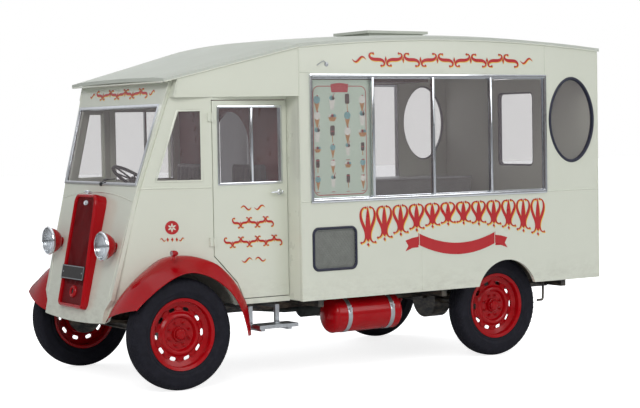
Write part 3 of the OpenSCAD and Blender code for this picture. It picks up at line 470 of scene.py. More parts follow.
world = bpy.data.worlds.new("world")
scene.world = world
world.use_nodes = True
wt = world.node_tree
bg = wt.nodes["Background"]
bg.inputs["Color"].default_value = (0.9, 0.94, 1.0, 1)
bg.inputs["Strength"].default_value = 0.36
white = wt.nodes.new("ShaderNodeBackground")
white.inputs["Color"].default_value = (1, 1, 1, 1)
white.inputs["Strength"].default_value = 1.0
wmix = wt.nodes.new("ShaderNodeMixShader")
lp = wt.nodes.new("ShaderNodeLightPath")
most = wt.nodes.new("ShaderNodeMath")
most.operation = "MAXIMUM"
wt.links.new(lp.outputs["Is Camera Ray"], most.inputs[0])
wt.links.new(lp.outputs["Is Transmission Ray"], most.inputs[1])
wt.links.new(most.outputs[0], wmix.inputs["Fac"])
wt.links.new(bg.outputs[0], wmix.inputs[1])
wt.links.new(white.outputs[0], wmix.inputs[2])
# what shiny surfaces see: a bright sky that darkens to the horizon
sky = wt.nodes.new("ShaderNodeBackground")
sky.inputs["Strength"].default_value = 0.85
geo = wt.nodes.new("ShaderNodeTexCoord")
sepw = wt.nodes.new("ShaderNodeSeparateXYZ")
skyr = wt.nodes.new("ShaderNodeValToRGB")
for e, (p, c) in zip(skyr.color_ramp.elements, ((0.0, (0.22, 0.21, 0.2, 1)), (0.35, (0.95, 0.97, 1, 1)))):
    e.position, e.color = p, c
wt.links.new(geo.outputs["Generated"], sepw.inputs[0])
wt.links.new(sepw.outputs["Z"], skyr.inputs["Fac"])
wt.links.new(skyr.outputs["Color"], sky.inputs["Color"])
gmix = wt.nodes.new("ShaderNodeMixShader")
wt.links.new(lp.outputs["Is Glossy Ray"], gmix.inputs["Fac"])
wt.links.new(wmix.outputs[0], gmix.inputs[1])
wt.links.new(sky.outputs[0], gmix.inputs[2])
wt.links.new(gmix.outputs[0], wt.nodes["World Output"].inputs["Surface"])

m = Mat("studio_floor", (0.86, 0.86, 0.86, 1), 0.85)
m.mottle(0.6, 0.3, 0.99)
glow = m.new("ShaderNodeEmission")
glow.inputs["Color"].default_value = (1, 1, 1, 1)
glow.inputs["Strength"].default_value = 0.8
addsh = m.new("ShaderNodeAddShader")
fmix = m.new("ShaderNodeMixShader")
fl = m.new("ShaderNodeLightPath")
out = m.t.nodes["Material Output"]
m.link(m.b.outputs[0], addsh.inputs[0])
m.link(glow.outputs[0], addsh.inputs[1])
m.link(fl.outputs["Is Camera Ray"], fmix.inputs["Fac"])
m.link(m.b.outputs[0], fmix.inputs[1])
m.link(addsh.outputs[0], fmix.inputs[2])
m.link(fmix.outputs[0], out.inputs["Surface"])
bpy.ops.mesh.primitive_plane_add(size=120, location=(0, 0, -0.0005))
ground = bpy.context.object
ground.name = "studio_floor"
ground.data.materials.append(m.m)
scene.view_settings.view_transform = "Standard"

# ---------------------------------------------------------------- windows
sw_lo, sw_hi = box("serving_window_left")
WY0, WY1, WZ0, WZ1 = sw_lo.y - FA, sw_hi.y - FA, sw_lo.z, sw_hi.z
bay = (WY1 - WY0) / 4
ov_lo, ov_hi = box("oval_windows")
OV = ((ov_lo.y + ov_hi.y) / 2 - FA, (ov_lo.z + ov_hi.z) / 2, (ov_hi.y - ov_lo.y) / 2,
        (ov_hi.z - ov_lo.z) / 2)


def oval(grow, n=64):
    return [(OV[0] + (OV[2] + grow) * math.cos(a) * (1 - 0.04 * math.sin(a) ** 2),
             OV[1] + (OV[3] + grow) * math.sin(a) * (0.97 + 0.03 * abs(math.sin(a))))
            for a in (2 * math.pi * k / n for k in range(n))]


for s, tag in ((1, "left"), (-1, "right")):
    P = SIDE[s]
    n = P.n

    def outline(y0, z0, y1, z1, r, c):
        return P.line([(y * s, z) for y, z in rounded(y0, z0, y1, z1, r)], c)

    fr = Shape()
    fr.ring(outline(WY0, WZ0, WY1, WZ1, 0.008, 0.0003),
            outline(WY0 + .024, WZ0 + .024, WY1 - .024, WZ1 - .024, .004, 0.0003), n * 0.014)
    fr.ring(outline(WY0 + .009, WZ0 + .009, WY1 - .009, WZ1 - .009, 0.006, -0.029),
            outline(WY0 + .024, WZ0 + .024, WY1 - .024, WZ1 - .024, .004, -0.029), n * 0.034)
    for k in range(1, 4):
        y = WY0 + bay * k
        fr.prism(outline(y - .011, WZ0 + .012, y + .011, WZ1 - .012, .002, -0.02), n * 0.03)
        fr.prism(outline(y - .004, WZ0 + .012, y + .004, WZ1 - .012, .001, 0.008), n * 0.005)
    # sliding panes' own thin frames, one behind the other
    pane = Shape()
    for k in range(4):
        d = -0.016 if k % 2 else -0.026
        a, b = WY0 + bay * k + (0.02 if k == 0 else -0.004), WY0 + bay * (k + 1) + (0.004 if k < 3 else -0.02)
        fr.ring(outline(a, WZ0 + .02, b, WZ1 - .02, .004, d),
                outline(a + .014, WZ0 + .036, b - .014, WZ1 - .036, .003, d), n * 0.007)
        pane.prism(outline(a + .012, WZ0 + .034, b - .012, WZ1 - .034, .003, d + 0.0015), n * 0.004)
    f = fr.done("serving_frame_" + tag, CHROME, slot="window_glass", bevel=0.0012)
    g = pane.done("serving_panes_" + tag, GLASS, slot="window_glass")
    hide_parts("serving_window_" + tag)
    # oval window: navy rubber round a pane
    ring = Shape()
    sec = [(0.0, .0005), (-.003, .006), (-.010, .009), (-.018, .0085), (-.024, .005), (-.026, -.004),
            (-.024, -.022), (-.018, -.022)]
    rings = [P.line([(y * s, z) for y, z in oval(g_)], c) for g_, c in sec]
    m_ = len(rings[0])
    ring.add([p for r_ in rings for p in r_],
             [[j * m_ + k, j * m_ + (k + 1) % m_, ((j + 1) % len(rings)) * m_ + (k + 1) % m_,
                 ((j + 1) % len(rings)) * m_ + k]
              for j in range(len(rings)) for k in range(m_)])
    r1 = ring.done("oval_seal_" + tag, NAVY, slot="seal_rubber")
    Shape().prism(P.line([(y * s, z) for y, z in oval(-.022)], -.016), n * 0.005).done("oval_pane_" + tag,
            GLASS, slot="window_glass")
    if s == 1:
        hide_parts("oval_windows")
    # cab door window
    D = DOOR[s]
    lo, hi = box("door_window_" + tag)
    y0, y1, z0, z1 = lo.y - FA, hi.y - FA, lo.z, hi.z

    def dl(a, b, c, d_, r, off):
        return D.line([(y * s, z) for y, z in rounded(a, b, c, d_, r)], off)

    dw = Shape()
    dw.ring(dl(y0, z0, y1, z1, .010, .0004), dl(y0 + .017, z0 + .017, y1 - .017, z1 - .017, .006, .0004),
            D.n * 0.009)
    dw.ring(dl(y0 + .009, z0 + .009, y1 - .009, z1 - .009, .006, -.028),
            dl(y0 + .018, z0 + .018, y1 - .018, z1 - .018, .005, -.028), D.n * 0.03)
    ym = (y0 + y1) / 2 + 0.02
    dw.prism(dl(ym - .009, z0 + .012, ym + .009, z1 - .012, .002, -.02), D.n * 0.024)
    w = dw.done("door_window_frame_" + tag, CHROME, "door_" + tag, "window_glass", ("door_window_" + tag,),
            0.001)
    gp = Shape()
    gp.prism(dl(y0 + .016, z0 + .016, ym + .004, z1 - .016, .004, -.012), D.n * 0.004)
    gp.prism(dl(ym - .004, z0 + .016, y1 - .016, z1 - .016, .004, -.021), D.n * 0.004)
    gp.done("door_window_panes_" + tag, GLASS, "door_" + tag, "window_glass")

# windscreen
lo, hi = box("windscreen")
SL = 0.640
FX = CAB_X - 0.48 * (0.301 - FOOT_Y)


def screen_line(inset, c):
    return SCREEN.line([(-FX + .002 + inset, .006 + inset), (FX - .002 - inset, .006 + inset),
                        (FX + .060 - inset, SL - inset), (-FX - .060 + inset, SL - inset)], c)


fr = Shape()
fr.ring(screen_line(0, .0004), screen_line(.022, .0004), SCREEN.n * .011)
fr.ring(screen_line(.015, -.010), screen_line(.024, -.010), SCREEN.n * .014)
fr.done("windscreen_frame", CHROME, slot="window_glass", replaces=("windscreen",), bevel=.0012)
Shape().prism(screen_line(.020, -.003), SCREEN.n * .005).done("windscreen_pane", GLASS, slot="window_glass")

# quarter lights
q_lo, q_hi = box("quarter_lights")
qz0, qz1 = q_lo.z, q_hi.z
q_back = q_hi.y - FA


def front_y(z):
    return FOOT_Y + (z - WAIST) * math.tan(SCREEN_LEAN)


for s, tag in ((1, "left"), (-1, "right")):
    T = TAPER[s]
    k_ = math.sqrt(1 + .48 ** 2)

    def ql(inset, c):
        pts = [(front_y(qz0) + .104 + .008 + inset, qz0 + inset), (q_back - inset, qz0 + inset),
               (q_back - inset, qz1 - inset), (front_y(qz1) + .098 + .008 + inset, qz1 - inset)]
        return T.line([((y - .301) * k_ * s, z) for y, z in pts], c)

    qf = Shape()
    qf.ring(ql(.0004, -.014), ql(.014, -.014), T.n * .020)
    qo = qf.done("quarter_frame_" + tag, CREAM, slot="window_glass", bevel=.0015)
    if s == 1:
        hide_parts("quarter_lights")
    Shape().prism(ql(.012, -.012), T.n * .004).done("quarter_pane_" + tag, GLASS, slot="window_glass")

# rear door window
lo, hi = box("rear_door_window")
REAR = Plane((0, hi.y - FA - .008, 0), (-1, 0, 0), (0, 0, 1))
x1, z0, z1 = hi.x, lo.z, hi.z


def rl(inset, r, c):
    return REAR.line(rounded(-x1 + inset, z0 + inset, x1 - inset, z1 - inset, r, 8), c)


rw = Shape()
rw.ring(rl(0, .05, .0004), rl(.016, .038, .0004), REAR.n * .007)
rw.ring(rl(.001, .049, -.030), rl(.014, .036, -.030), REAR.n * .032)
rw.done("rear_window_seal", NAVY, "rear_door", "seal_rubber", ("rear_door_window",), .001)
Shape().prism(rl(.010, .04, -.02), REAR.n * .005).done("rear_window_pane", GLASS, "rear_door",
        "window_glass")

# ---------------------------------------------------------------- tyres and wheels
def tyre_piece(tag):
    lo, hi = box("tyre_" + tag)
    c, R, W = (lo + hi) / 2, (hi.z - lo.z) / 2, (hi.x - lo.x) / 2
    s = 1 if c.x > 0 else -1
    rim = box("wheel_" + tag)
    RR = (rim[1].z - rim[0].z) / 2
    prof = [(RR - .004, -W * .62), (RR + .008, -W * .80), (RR + .022, -W * .86), (RR + .026, -W * .84),
            (RR + .050, -W * .975),
            (RR + .055, -W * .965), (RR + .078, -W * .992), (R - .055, -W * .955), (R - .050, -W * .968),
                    (R - .040, -W * .945),
            (R - .034, -W * .93), (R - .017, -W * .80)]
    sh = Shape()
    half = [(r, h) for r, h in prof]
    sh.lathe(half, (c.x, c.y - FA, c.z), (-s, 0, 0), 128)
    sh.lathe(half, (c.x, c.y - FA, c.z), (s, 0, 0), 128)
    # crowned tread with stepped grooves; columns run across the tyre
    cols, n = 33, 320
    pts, faces = [], []
    for k in range(n):
        a = 2 * math.pi * k / n
        for j in range(cols):
            t = j / (cols - 1) * 2 - 1
            r = R - .0005 - .0165 * abs(t) ** 3.2
            zig = .05 * (1 if (k // 4) % 2 else -1)
            groove = any(abs(abs(t) - g - (zig if g else 0) * (1 if t > 0 else -1)) < .045
                    for g in (.30, .62))
            groove = groove or abs(t + zig) < .035
            lug = abs(t) > .78 and (k % 8) in (0, 1) and abs(t) < .985
            r -= .0075 if groove else (.006 if lug else 0)
            h = t * W * .80
            pts.append((c.x + h, c.y - FA + r * math.sin(a), c.z + r * math.cos(a)))
    for k in range(n):
        q = (k + 1) % n
        faces += [[k * cols + j, q * cols + j, q * cols + j + 1, k * cols + j + 1] for j in range(cols - 1)]
    sh.add(pts, faces)
    # thin moulded rings and short ribs on the outer wall
    for k in range(60):
        a = 2 * math.pi * k / 60
        d = Vector((0, math.sin(a), math.cos(a)))
        w = Vector((0, math.cos(a), -math.sin(a)))
        p = Vector((c.x + s * W * .925, c.y - FA, c.z)) + d * (R - .036)
        sh.prism([p - w * .005 - d * .007, p + w * .005 - d * .007, p + w * .005 + d * .011,
                p - w * .005 + d * .011],
                 (s * W * .035, 0, 0))
    return sh.done("tyre_detail_" + tag, TYRE, "wheel_" + tag, "tyre_rubber", ("tyre_" + tag,), sharp=28)


def wheel_detail(tag):
    lo, hi = box("wheel_" + tag)
    tl, th = box("tyre_" + tag)
    s = 1 if lo.x > 0 else -1
    cx, cy, cz = (tl.x + th.x) / 2, (lo.y + hi.y) / 2 - FA, (lo.z + hi.z) / 2
    sh = Shape()
    ax = (s, 0, 0)

    def at(r, a, h):
        return (cx + s * h, cy + r * math.sin(a), cz + r * math.cos(a))

    sh.lathe([(0, .048), (.020, .047), (.034, .043), (.040, .036), (.042, .022)], (cx, cy, cz), ax, 40)
    sh.lathe([(.046, .021), (.047, .026), (.051, .028), (.055, .026), (.056, .018)], (cx, cy, cz), ax, 48)
    for k in range(8):
        a = 2 * math.pi * (k + .5) / 8
        p = at(.088, a, .003)
        sh.lathe([(.0165, .0), (.0165, .004), (.0125, .006), (.0125, .017), (.0105, .019), (0, .019)], p,
                ax, 6)
        sh.lathe([(.0062, .018), (.0062, .027), (0, .028)], p, ax, 10)
    for k in range(6):
        a = 2 * math.pi * k / 6
        sh.lathe([(.006, 0), (.006, .006), (.004, .008), (0, .008)], at(.030, a, .041), ax, 6)
    # bead around each hand hole, and the locking ring
    for k in range(10):
        a = 2 * math.pi * k / 10
        ring = []
        for i in range(24):
            b = 2 * math.pi * i / 24
            ring.append(at(.190 + .0160 * math.cos(b), a + .0290 * math.sin(b) / .19,
                    .0135 - .0005 * abs(math.cos(b))))
        sh.tube(ring, .0028, 6, closed=True)
    R = (hi.z - lo.z) / 2
    W = (hi.x - lo.x) / 2
    sh.lathe([(R - .012, W - .018), (R - .004, W - .012), (R - .002, W - .005), (R - .007, W - .001),
            (R - .013, W - .006)], (cx, cy, cz), ax, 96)
    # tyre valve
    a = math.radians(100)
    sh.tube([at(R - .030, a, .006), at(R - .036, a, .022), at(R - .044, a, .040)], .0042, 8)
    sh.done("wheel_detail_" + tag, RED, "wheel_" + tag, "red_paint", sharp=30)


for tag in ("front_left", "front_right", "rear_left", "rear_right"):
    tyre_piece(tag)
    wheel_detail(tag)

# ---------------------------------------------------------------- nose, lamps and wings
def shell_line(grow, c):
    pts = []
    for cx, cy, r, a0 in ((.178, -.923, .044, -90), (.128, -.168, .062, 0), (-.128, -.168, .062, 90),
            (-.178, -.923, .044, 180)):
        for k in range(9):
            a = math.radians(a0 + 90 * k / 8)
            tall = .020 * math.sin(a) if cy > -.5 else 0
            pts.append((cx + (r + grow) * math.cos(a), cy + (r + grow) * math.sin(a) + tall))
    return NOSE.line(pts, c)


SHELL_TILT = .060 / .967        # the shell's face stands proud of the nose's slope towards the top


def shell_rise(y):
    return SHELL_TILT * (y + .967)


def shell_ring(grow, c):
    """An outline of the shell; past its foot each point rises with the face's tilt."""
    flat = shell_line(grow, 0)
    return [p + NOSE.n * (c + (shell_rise(NOSE.v.dot(p - NOSE.o)) if c > .004 else 0)) for p in flat]


def loft_rings(sh, rings, close_last=False):
    n = len(rings[0])
    f = [[j * n + k, j * n + (k + 1) % n, (j + 1) * n + (k + 1) % n, (j + 1) * n + k]
         for j in range(len(rings) - 1) for k in range(n)]
    if close_last:
        f.append([(len(rings) - 1) * n + k for k in range(n)])
    return sh.add([p for r in rings for p in r], f)


sh = Shape()
sec = [(0.001, 0.0004), (0.002, .022), (-.001, .036), (-.007, .047), (-.015, .0515), (-.022, .050),
        (-.0265, .044), (-.028, .030), (-.028, .024)]
loft_rings(sh, [shell_ring(g, c) for g, c in sec])
# boss for the starting handle
o = NOSE.point(0, -.842, .026 + shell_rise(-.842))
sh.lathe([(.050, 0), (.048, .010), (.040, .018), (.032, .020), (.024, .016), (.022, .002)], o, NOSE.n, 40)
sh.done("radiator_surround", RED, slot="red_paint", replaces=("radiator_shell",), sharp=50)
m = Mat("grille_red", rgb(112, 6, 14), 0.45, Specular_IOR_Level=0.25)
rib = m.new("ShaderNodeTexWave", bands_direction="X")
rib.inputs["Scale"].default_value = 60
rib.inputs["Distortion"].default_value = 0.0
m.link(m.co, rib.inputs["Vector"])
m.mottle(20, 0.2, 0.75).rough_by(20, 0.06).bump(rib.outputs["Fac"], 0.5, 0.002)
core = Shape().prism(shell_ring(-.026, .020), NOSE.n * .006)
for k in range(35):
    x = -.170 + .010 * k
    core.tube([NOSE.point(x * (1 + .12 * t), y, .027 + shell_rise(y)) for t,
            y in ((0, -.13), (.5, -.46), (1, -.79))], .0022, 6)
core.done("radiator_core", m.m, slot="red_paint")
# painted shade: a dark disc fills the starting handle's hole, where there is only shade
Shape().lathe([(.0215, 0), (.0215, .008), (0, .008)], o, NOSE.n, 24).done("handle_hole_shade", HOLE_SHADE)
# filler cap and a plain oval badge
up = NOSE.v
cap = Shape()
cap.lathe([(.014, 0), (.014, .018), (.027, .020), (.029, .024), (.029, .032), (.026, .036), (.012, .040),
        (0, .041)], NOSE.point(0, -.098, .028 + shell_rise(-.098)), up, 32)
for k in range(12):
    a = 2 * math.pi * k / 12
    cap.lathe([(.003, .021), (.003, .034), (0, .035)],
            NOSE.point(.029 * math.cos(a), -.098, .028 + shell_rise(-.098) + .029 * math.sin(a)), up, 8)
cap.done("filler_cap", CHROME, slot="red_paint")
badge = [(.040 * math.cos(2 * math.pi * k / 40), -.155 + .020 * math.sin(2 * math.pi * k / 40))
        for k in range(40)]
badge_in = [(.031 * math.cos(2 * math.pi * k / 40), -.155 + .0135 * math.sin(2 * math.pi * k / 40))
        for k in range(40)]
badge_c = .028 + shell_rise(-.155)
b = Shape().ring(NOSE.line(badge, badge_c), NOSE.line(badge_in, badge_c), NOSE.n * .008)
b.prism(NOSE.line(badge_in, badge_c), NOSE.n * .005)
b.done("plain_badge", CHROME, bevel=.0008)

# number plates: silver border round a blank black plate
lo, hi = box("number_plates")
bd = Shape()


def plate_border(pl, cx, cy, w, h, c):
    bd.ring(pl.line([(cx + a, cy + b_) for a, b_ in rounded(-w, -h, w, h, .006)], c),
            pl.line([(cx + a, cy + b_) for a,
                    b_ in rounded(-w + .006, -h + .006, w - .006, h - .006, .004)], c), pl.n * .0016)
    for sx in (-1, 1):
        bd.lathe([(.006, 0), (.006, .002), (.003, .0035), (0, .004)], pl.point(cx + sx * (w - .030), cy, c),
                pl.n, 16)


tilt = math.atan(SHELL_TILT)
FACE = Plane(NOSE.point(0, -.967, .052), NOSE.u, NOSE.v * math.cos(tilt) + NOSE.n * math.sin(tilt))
plate_border(FACE, 0, .267, .192, .051, .0089)
plate_border(REAR, -.640, 1.0, .126, .086, .0002)
bd.done("plate_borders", ALLOY, slot="bright_alloy")

# headlamps
bowl, rim, lens, refl, bulb = Shape(), Shape(), Shape(), Shape(), Shape()
LAMP = (box("headlamps")[1].x - .478) / .107 * .998


def lamp_profile(rows):
    return [(r_ * LAMP, h_) for r_, h_ in rows]


for s in (1, -1):
    c, ax = (s * .478, -.426, 1.077), (0, -1, 0)
    bowl.lathe(lamp_profile([(0, -.094), (.018, -.093), (.040, -.086), (.064, -.070), (.084, -.044),
            (.096, -.016), (.101, .0), (.099, .004), (.092, .004)]), c, ax, 64)
    back = Vector((s * .478, 0, 1.077))
    back.y = FOOT_Y - (WAIST - 1.077) * math.tan(NOSE_LEAN) - .002
    bowl.tube([(s * .478, -.426 + .080, 1.070), (s * .478, -.426 + .098, 1.066),
            (s * .478, back.y - .012, 1.062)], lambda t: .020 + .006 * t, 24)
    bowl.lathe([(.040, 0), (.038, .006), (.028, .011)],
            NOSE.point(s * .478, -(WAIST - 1.062) / math.cos(NOSE_LEAN), .0005), NOSE.n, 32)
    rim.lathe(lamp_profile([(.094, .002), (.101, .001), (.1055, .004), (.107, .010), (.1055, .018),
            (.100, .0245), (.0935, .0255), (.0915, .021), (.0915, .010), (.094, .002)]), c, ax, 72)
    rim.prism([(s * .478 - .007, -.430, 1.184), (s * .478 + .007, -.430, 1.184),
            (s * .478 + .007, -.430, 1.189), (s * .478 - .007, -.430, 1.189)], (0, -.018, 0))
    lens.lathe(lamp_profile([(0, .0415), (.02, .041), (.045, .038), (.07, .0315), (.086, .024),
            (.0925, .018), (.0925, .0155), (.086, .0205), (.07, .028), (.045, .0345), (.02, .0375),
                    (0, .038)]), c, ax, 64)
    refl.lathe(lamp_profile([(.0915, .012), (.082, -.006), (.065, -.026), (.045, -.042), (.022, -.052),
            (.010, -.054)]), c, ax, 64)
    bulb.lathe([(.010, -.054), (.010, -.030), (.014, -.022), (.015, -.012), (.011, -.003), (0, .0)], c, ax,
            24)
bowl.done("headlamp_bowls", RED, slot="red_paint", replaces=("headlamps",))
rim.done("headlamp_rims", CHROME, slot="red_paint")
refl.done("headlamp_reflectors", CHROME)
bulb.done("headlamp_bulbs", LENS)
m = Mat("lamp_lens", rgb(250, 252, 253), 0.04, Transmission_Weight=1.0, IOR=1.3)
fl_ = m.new("ShaderNodeTexWave", bands_direction="X")
fl_.inputs["Scale"].default_value = 22
fl_.inputs["Distortion"].default_value = 0.0
m.link(m.co, fl_.inputs["Vector"])
m.bump(fl_.outputs["Fac"], 0.5, 0.003)
lens.done("headlamp_lenses", m.m, slot="window_glass")

# wings: smooth pressing with a rolled lip, black underneath
ROWS = [[-.442, .512, .084, -.412, .634, .046], [-.372, .640, .096, -.372, .680, .056],
        [-.286, .756, .100, -.300, .738, .062],
        [-.220, .842, .100, -.215, .795, .052], [-.157, .906, .100, -.125, .845, .042],
                [-.085, .962, .100, -.030, .880, .034],
        [-.010, .990, .100, .060, .888, .030], [.110, .992, .100, .150, .868, .030],
                [.210, .968, .100, .235, .832, .030],
        [.300, .928, .100, .320, .776, .030], [.380, .865, .100, .395, .706, .028],
                [.448, .796, .100, .448, .630, .026],
        [.505, .712, .100, .484, .556, .024], [.552, .632, .100, .508, .480, .022],
                [.578, .500, .100, .522, .424, .018],
        [.591, .372, .100, .531, .375, .016]]


def spline_rows(rows, steps):
    out = []
    for i in range(len(rows) - 1):
        p = [rows[max(i - 1, 0)], rows[i], rows[i + 1], rows[min(i + 2, len(rows) - 1)]]
        for k in range(steps):
            t = k / steps
            out.append([.5 * (2 * b_ + (c_ - a_) * t + (2 * a_ - 5 * b_ + 4 * c_ - d_) * t * t
                              + (3 * b_ - a_ - 3 * c_ + d_) * t ** 3)
                        for a_, b_, c_, d_ in zip(*p)])
    return out + [list(rows[-1])]


def side_x(y):
    return CAB_X - .48 * (.301 - y) if y < .301 else CAB_X


def toward(p, d):
    v = Vector((0, p.y, p.z - .42))
    return p - v.normalized() * d


COLS = 16
fine = spline_rows(ROWS, 4)
for s, tag in ((1, "left"), (-1, "right")):
    grid = []
    for row in fine:
        a = Vector((side_x(row[0]) + .001, row[0], row[1]))
        b_ = Vector((CAB_X + row[2], row[3], row[4]))
        ring = [toward(a + (b_ - a) * t, -row[5] * 4 * t * (1 - t) * (1.35 - .7 * t))
                for t in (k / COLS for k in range(COLS + 1))]
        grid.append([Vector((p.x * s, p.y, p.z)) for p in ring])
    for part, mat, d0, d1 in (("wing_skin_", RED, 0.0, .0028), ("wing_underside_", BLACK, .0030, .0048)):
        sh = Shape()
        rings = []
        for ring in grid:
            rings.append([toward(p, d0) for p in ring] + [toward(p, d1) for p in ring[::-1]])
        n = len(rings[0])
        sh.add([p for r_ in rings for p in r_],
               [[j * n + k, j * n + (k + 1) % n, (j + 1) * n + (k + 1) % n, (j + 1) * n + k]
                   for j in range(len(rings) - 1) for k in range(n)]
               + [list(range(n)), [(len(rings) - 1) * n + k for k in range(n)][::-1]])
        if part == "wing_skin_":
            sh.tube([toward(r_[-1], .004) for r_ in grid], .0052, 10)
            sh.tube([toward(r_[0], .002) + Vector((s * .002, 0, 0)) for r_ in grid[:-6]], .0045, 8)
        sh.done(part + tag, mat, slot="red_paint" if mat is RED else "black_chassis",
                replaces=("wing_" + tag,) if mat is RED else (), sharp=40)
    # bullet side lamp on the wing
    base = Vector((s * .902, -.060, .992))
    lamp = Shape()
    lamp.lathe([(.017, -.012), (.011, .0), (.008, .010), (.009, .020)], base, (0, 0, 1), 24)
    lamp.lathe([(0, .038), (.010, .034), (.018, .024), (.022, .008), (.0225, -.010), (.0225, -.016),
            (.020, -.018)], base + Vector((0, 0, .034)), (0, 1, 0), 32)
    lamp.done("side_lamp_" + tag, RED, slot="red_paint")
    Shape().lathe([(.0205, .016), (.019, .022), (.012, .026), (0, .027)], base + Vector((0, 0, .034)),
            (0, -1, 0), 32).done("side_lamp_lens_" + tag, LENS)

# ---------------------------------------------------------------- mouldings, seams and hinges
bead = Shape()


def roof_side_x(y):
    return .785 + (1.06 - .785) * (y + .057) / 1.017 if y < .96 else 1.06


def edge_z(y):
    def arc(v):
        return 2.622 - (v - 2.484) ** 2 / 32
    return arc(y) if y > .96 else 2.293 + (arc(.96) - 2.293) * (y + .057) / 1.017


arc_pts = [NOSE.point(x, -.050 - .062 * (x / .61) ** 2, .001)
        for x in [-.612 + .0612 * k for k in range(21)]]
bead.tube(arc_pts, .0045, 8)
for s in (1, -1):
    T = TAPER[s]
    k_ = math.sqrt(1 + .48 ** 2)
    bead.tube([T.point((y - .301) * k_ * s, 1.502, .001) for y in (-.190, 0, .15, .285)], .0065, 8)
    # front corner of the cab, nose and screen sides
    bead.tube([(s * (side_x(y) + .001), y + .004, z) for y,
            z in ((-.430, .665), (-.340, 1.02), (FOOT_Y, WAIST), (-.12, WAIST + .32), (-.034, 2.127),
                    (.008, 2.272))], .0062, 8)
    # lower and front edges of the box over the door
    ys = [.020 + .0935 * k for k in range(11)]
    low = [(s * (roof_side_x(y) + .002), y, 2.186) for y in ys]
    bead.prism([(s * (roof_side_x(.02) + .007), .02, 2.178), (s * (roof_side_x(.955) + .004), .955, 2.178),
                (s * (roof_side_x(.955) + .004), .955, 2.200), (s * (roof_side_x(.02) + .007), .02, 2.200)],
                        (-s * .012, 0, 0))
    bead.tube([(s * (roof_side_x(.02) + .003), .018, 2.19), (s * (roof_side_x(.045) + .003), .050, 2.312)],
            .006, 8)
    # body corners and panel joints
    bead.tube([(s * 1.0605, .963, z) for z in (.612, 1.2, 1.8, 2.30, 2.545)], .0045, 8)
    bead.tube([(s * 1.0605, 4.004, z) for z in (.612, 1.2, 1.8, 2.30, 2.53)], .0045, 8)
    for a, b_, z in ((.966, WY0 - .004, 1.372), (WY1 + .004, 4.002, 1.372), (.966, WY0 - .004, 2.362)):
        bead.tube([(s * 1.0605, a, z), (s * 1.0605, (a + b_) / 2, z), (s * 1.0605, b_, z)], .0065, 8)
    bead.tube([(s * 1.0600, WY1 - .006, z) for z in (WZ1 + .002, 2.45, 2.592)], .0024, 6)
    bead.tube([(s * 1.0600, 2.105, z) for z in (.612, 1.0, WZ0 - .002)], .0018, 6)
    # gutter under the roof's edge
    ys = [-.045 + .1 * k for k in range(11)] + [1.1 + .145 * k for k in range(21)]
    bead.tube([(s * (roof_side_x(y) + .0085), y, edge_z(y) + .001) for y in ys if y < 4.01], .0050, 8)
bead.tube([(x, -.058, 2.294) for x in (-.78, -.4, 0, .4, .78)], .006, 8)
bead.done("body_mouldings", CREAM, slot="cream_paint")

# rivets along the body's lower edge
rv = Shape()
for s in (1, -1):
    for k in range(38):
        y = 1.0 + .079 * k
        if abs(y - 2.987) < .335:
            continue
        rv.lathe([(.0042, 0), (.0036, .0016), (0, .0024)], (s * 1.0600, y, .632), (s, 0, 0), 8)
rv.done("edge_rivets", CREAM, slot="cream_paint")

# door handles in chrome and cream hinges over the cab doors' own bosses
for s, tag in ((1, "left"), (-1, "right")):
    h = Shape()
    h.lathe([(.024, .0), (.023, .004), (.016, .008), (.012, .012), (.0105, .030), (.012, .036),
            (.011, .044), (0, .047)], (s * CAB_X, .885, 1.448), (s, 0, 0), 32)
    h.tube([(s * (CAB_X + .036), .885, 1.448), (s * (CAB_X + .041), .86, 1.449),
            (s * (CAB_X + .043), .82, 1.449), (s * (CAB_X + .040), .785, 1.447)],
           lambda t: .0095 - .0035 * t, 14)
    h.done("door_handle_" + tag, CHROME, "door_" + tag, "cream_paint", sharp=50)
    h = Shape()
    for z in (1.092, 2.027):
        h.tube([(s * (CAB_X + .009), .298, z - .034 + .017 * k) for k in range(5)], .0085, 16)
        for dy in (.012, .026):
            for dz in (-.02, .02):
                h.lathe([(.0045, 0), (.004, .0015), (0, .002)], (s * (CAB_X + .004), .298 + dy, z + dz),
                        (s, 0, 0), 10)
    h.done("door_hinges_" + tag, CREAM, "door_" + tag, "cream_paint")

# ---------------------------------------------------------------- painted ornament (no lettering)
def strip(sh, pl, pts, width, c, h=.0009):
    """A painted stroke along pts in the plane; width(t) is its full width."""
    n = len(pts)
    rows = []
    for i, (x, y) in enumerate(pts):
        ax, ay = pts[max(i - 1, 0)]
        bx, by = pts[min(i + 1, n - 1)]
        d = math.hypot(bx - ax, by - ay) or 1
        nx, ny = -(by - ay) / d, (bx - ax) / d
        w = width(i / (n - 1)) / 2
        rows.append([pl.point(x + nx * w, y + ny * w, c), pl.point(x - nx * w, y - ny * w, c),
                     pl.point(x - nx * w, y - ny * w, c + h), pl.point(x + nx * w, y + ny * w, c + h)])
    sides = [[4 * i + k, 4 * i + (k + 1) % 4, 4 * i + 4 + (k + 1) % 4, 4 * i + 4 + k] for i in range(n - 1)
            for k in range(4)]
    sh.add([p for q in rows for p in q],
            sides + [[3, 2, 1, 0], [4 * n - 4, 4 * n - 3, 4 * n - 2, 4 * n - 1]])


def disc(sh, pl, x, y, r, c, n=20, h=.0009):
    sh.prism(pl.line([(x + r * math.cos(2 * math.pi * k / n), y + r * math.sin(2 * math.pi * k / n))
            for k in range(n)], c), pl.n * h)


def petal(x0, y0, x1, y1, w, n=9):
    d = math.hypot(x1 - x0, y1 - y0)
    ux, uy = (x1 - x0) / d, (y1 - y0) / d
    a = [(x0 + ux * d * t, y0 + uy * d * t, w / 2 * math.sin(math.pi * t ** .8) ** .9)
            for t in (k / n for k in range(n + 1))]
    return [(x - uy * b, y + ux * b) for x, y, b in a] + [(x + uy * b, y - ux * b) for x, y,
            b in a[::-1][1:-1]]


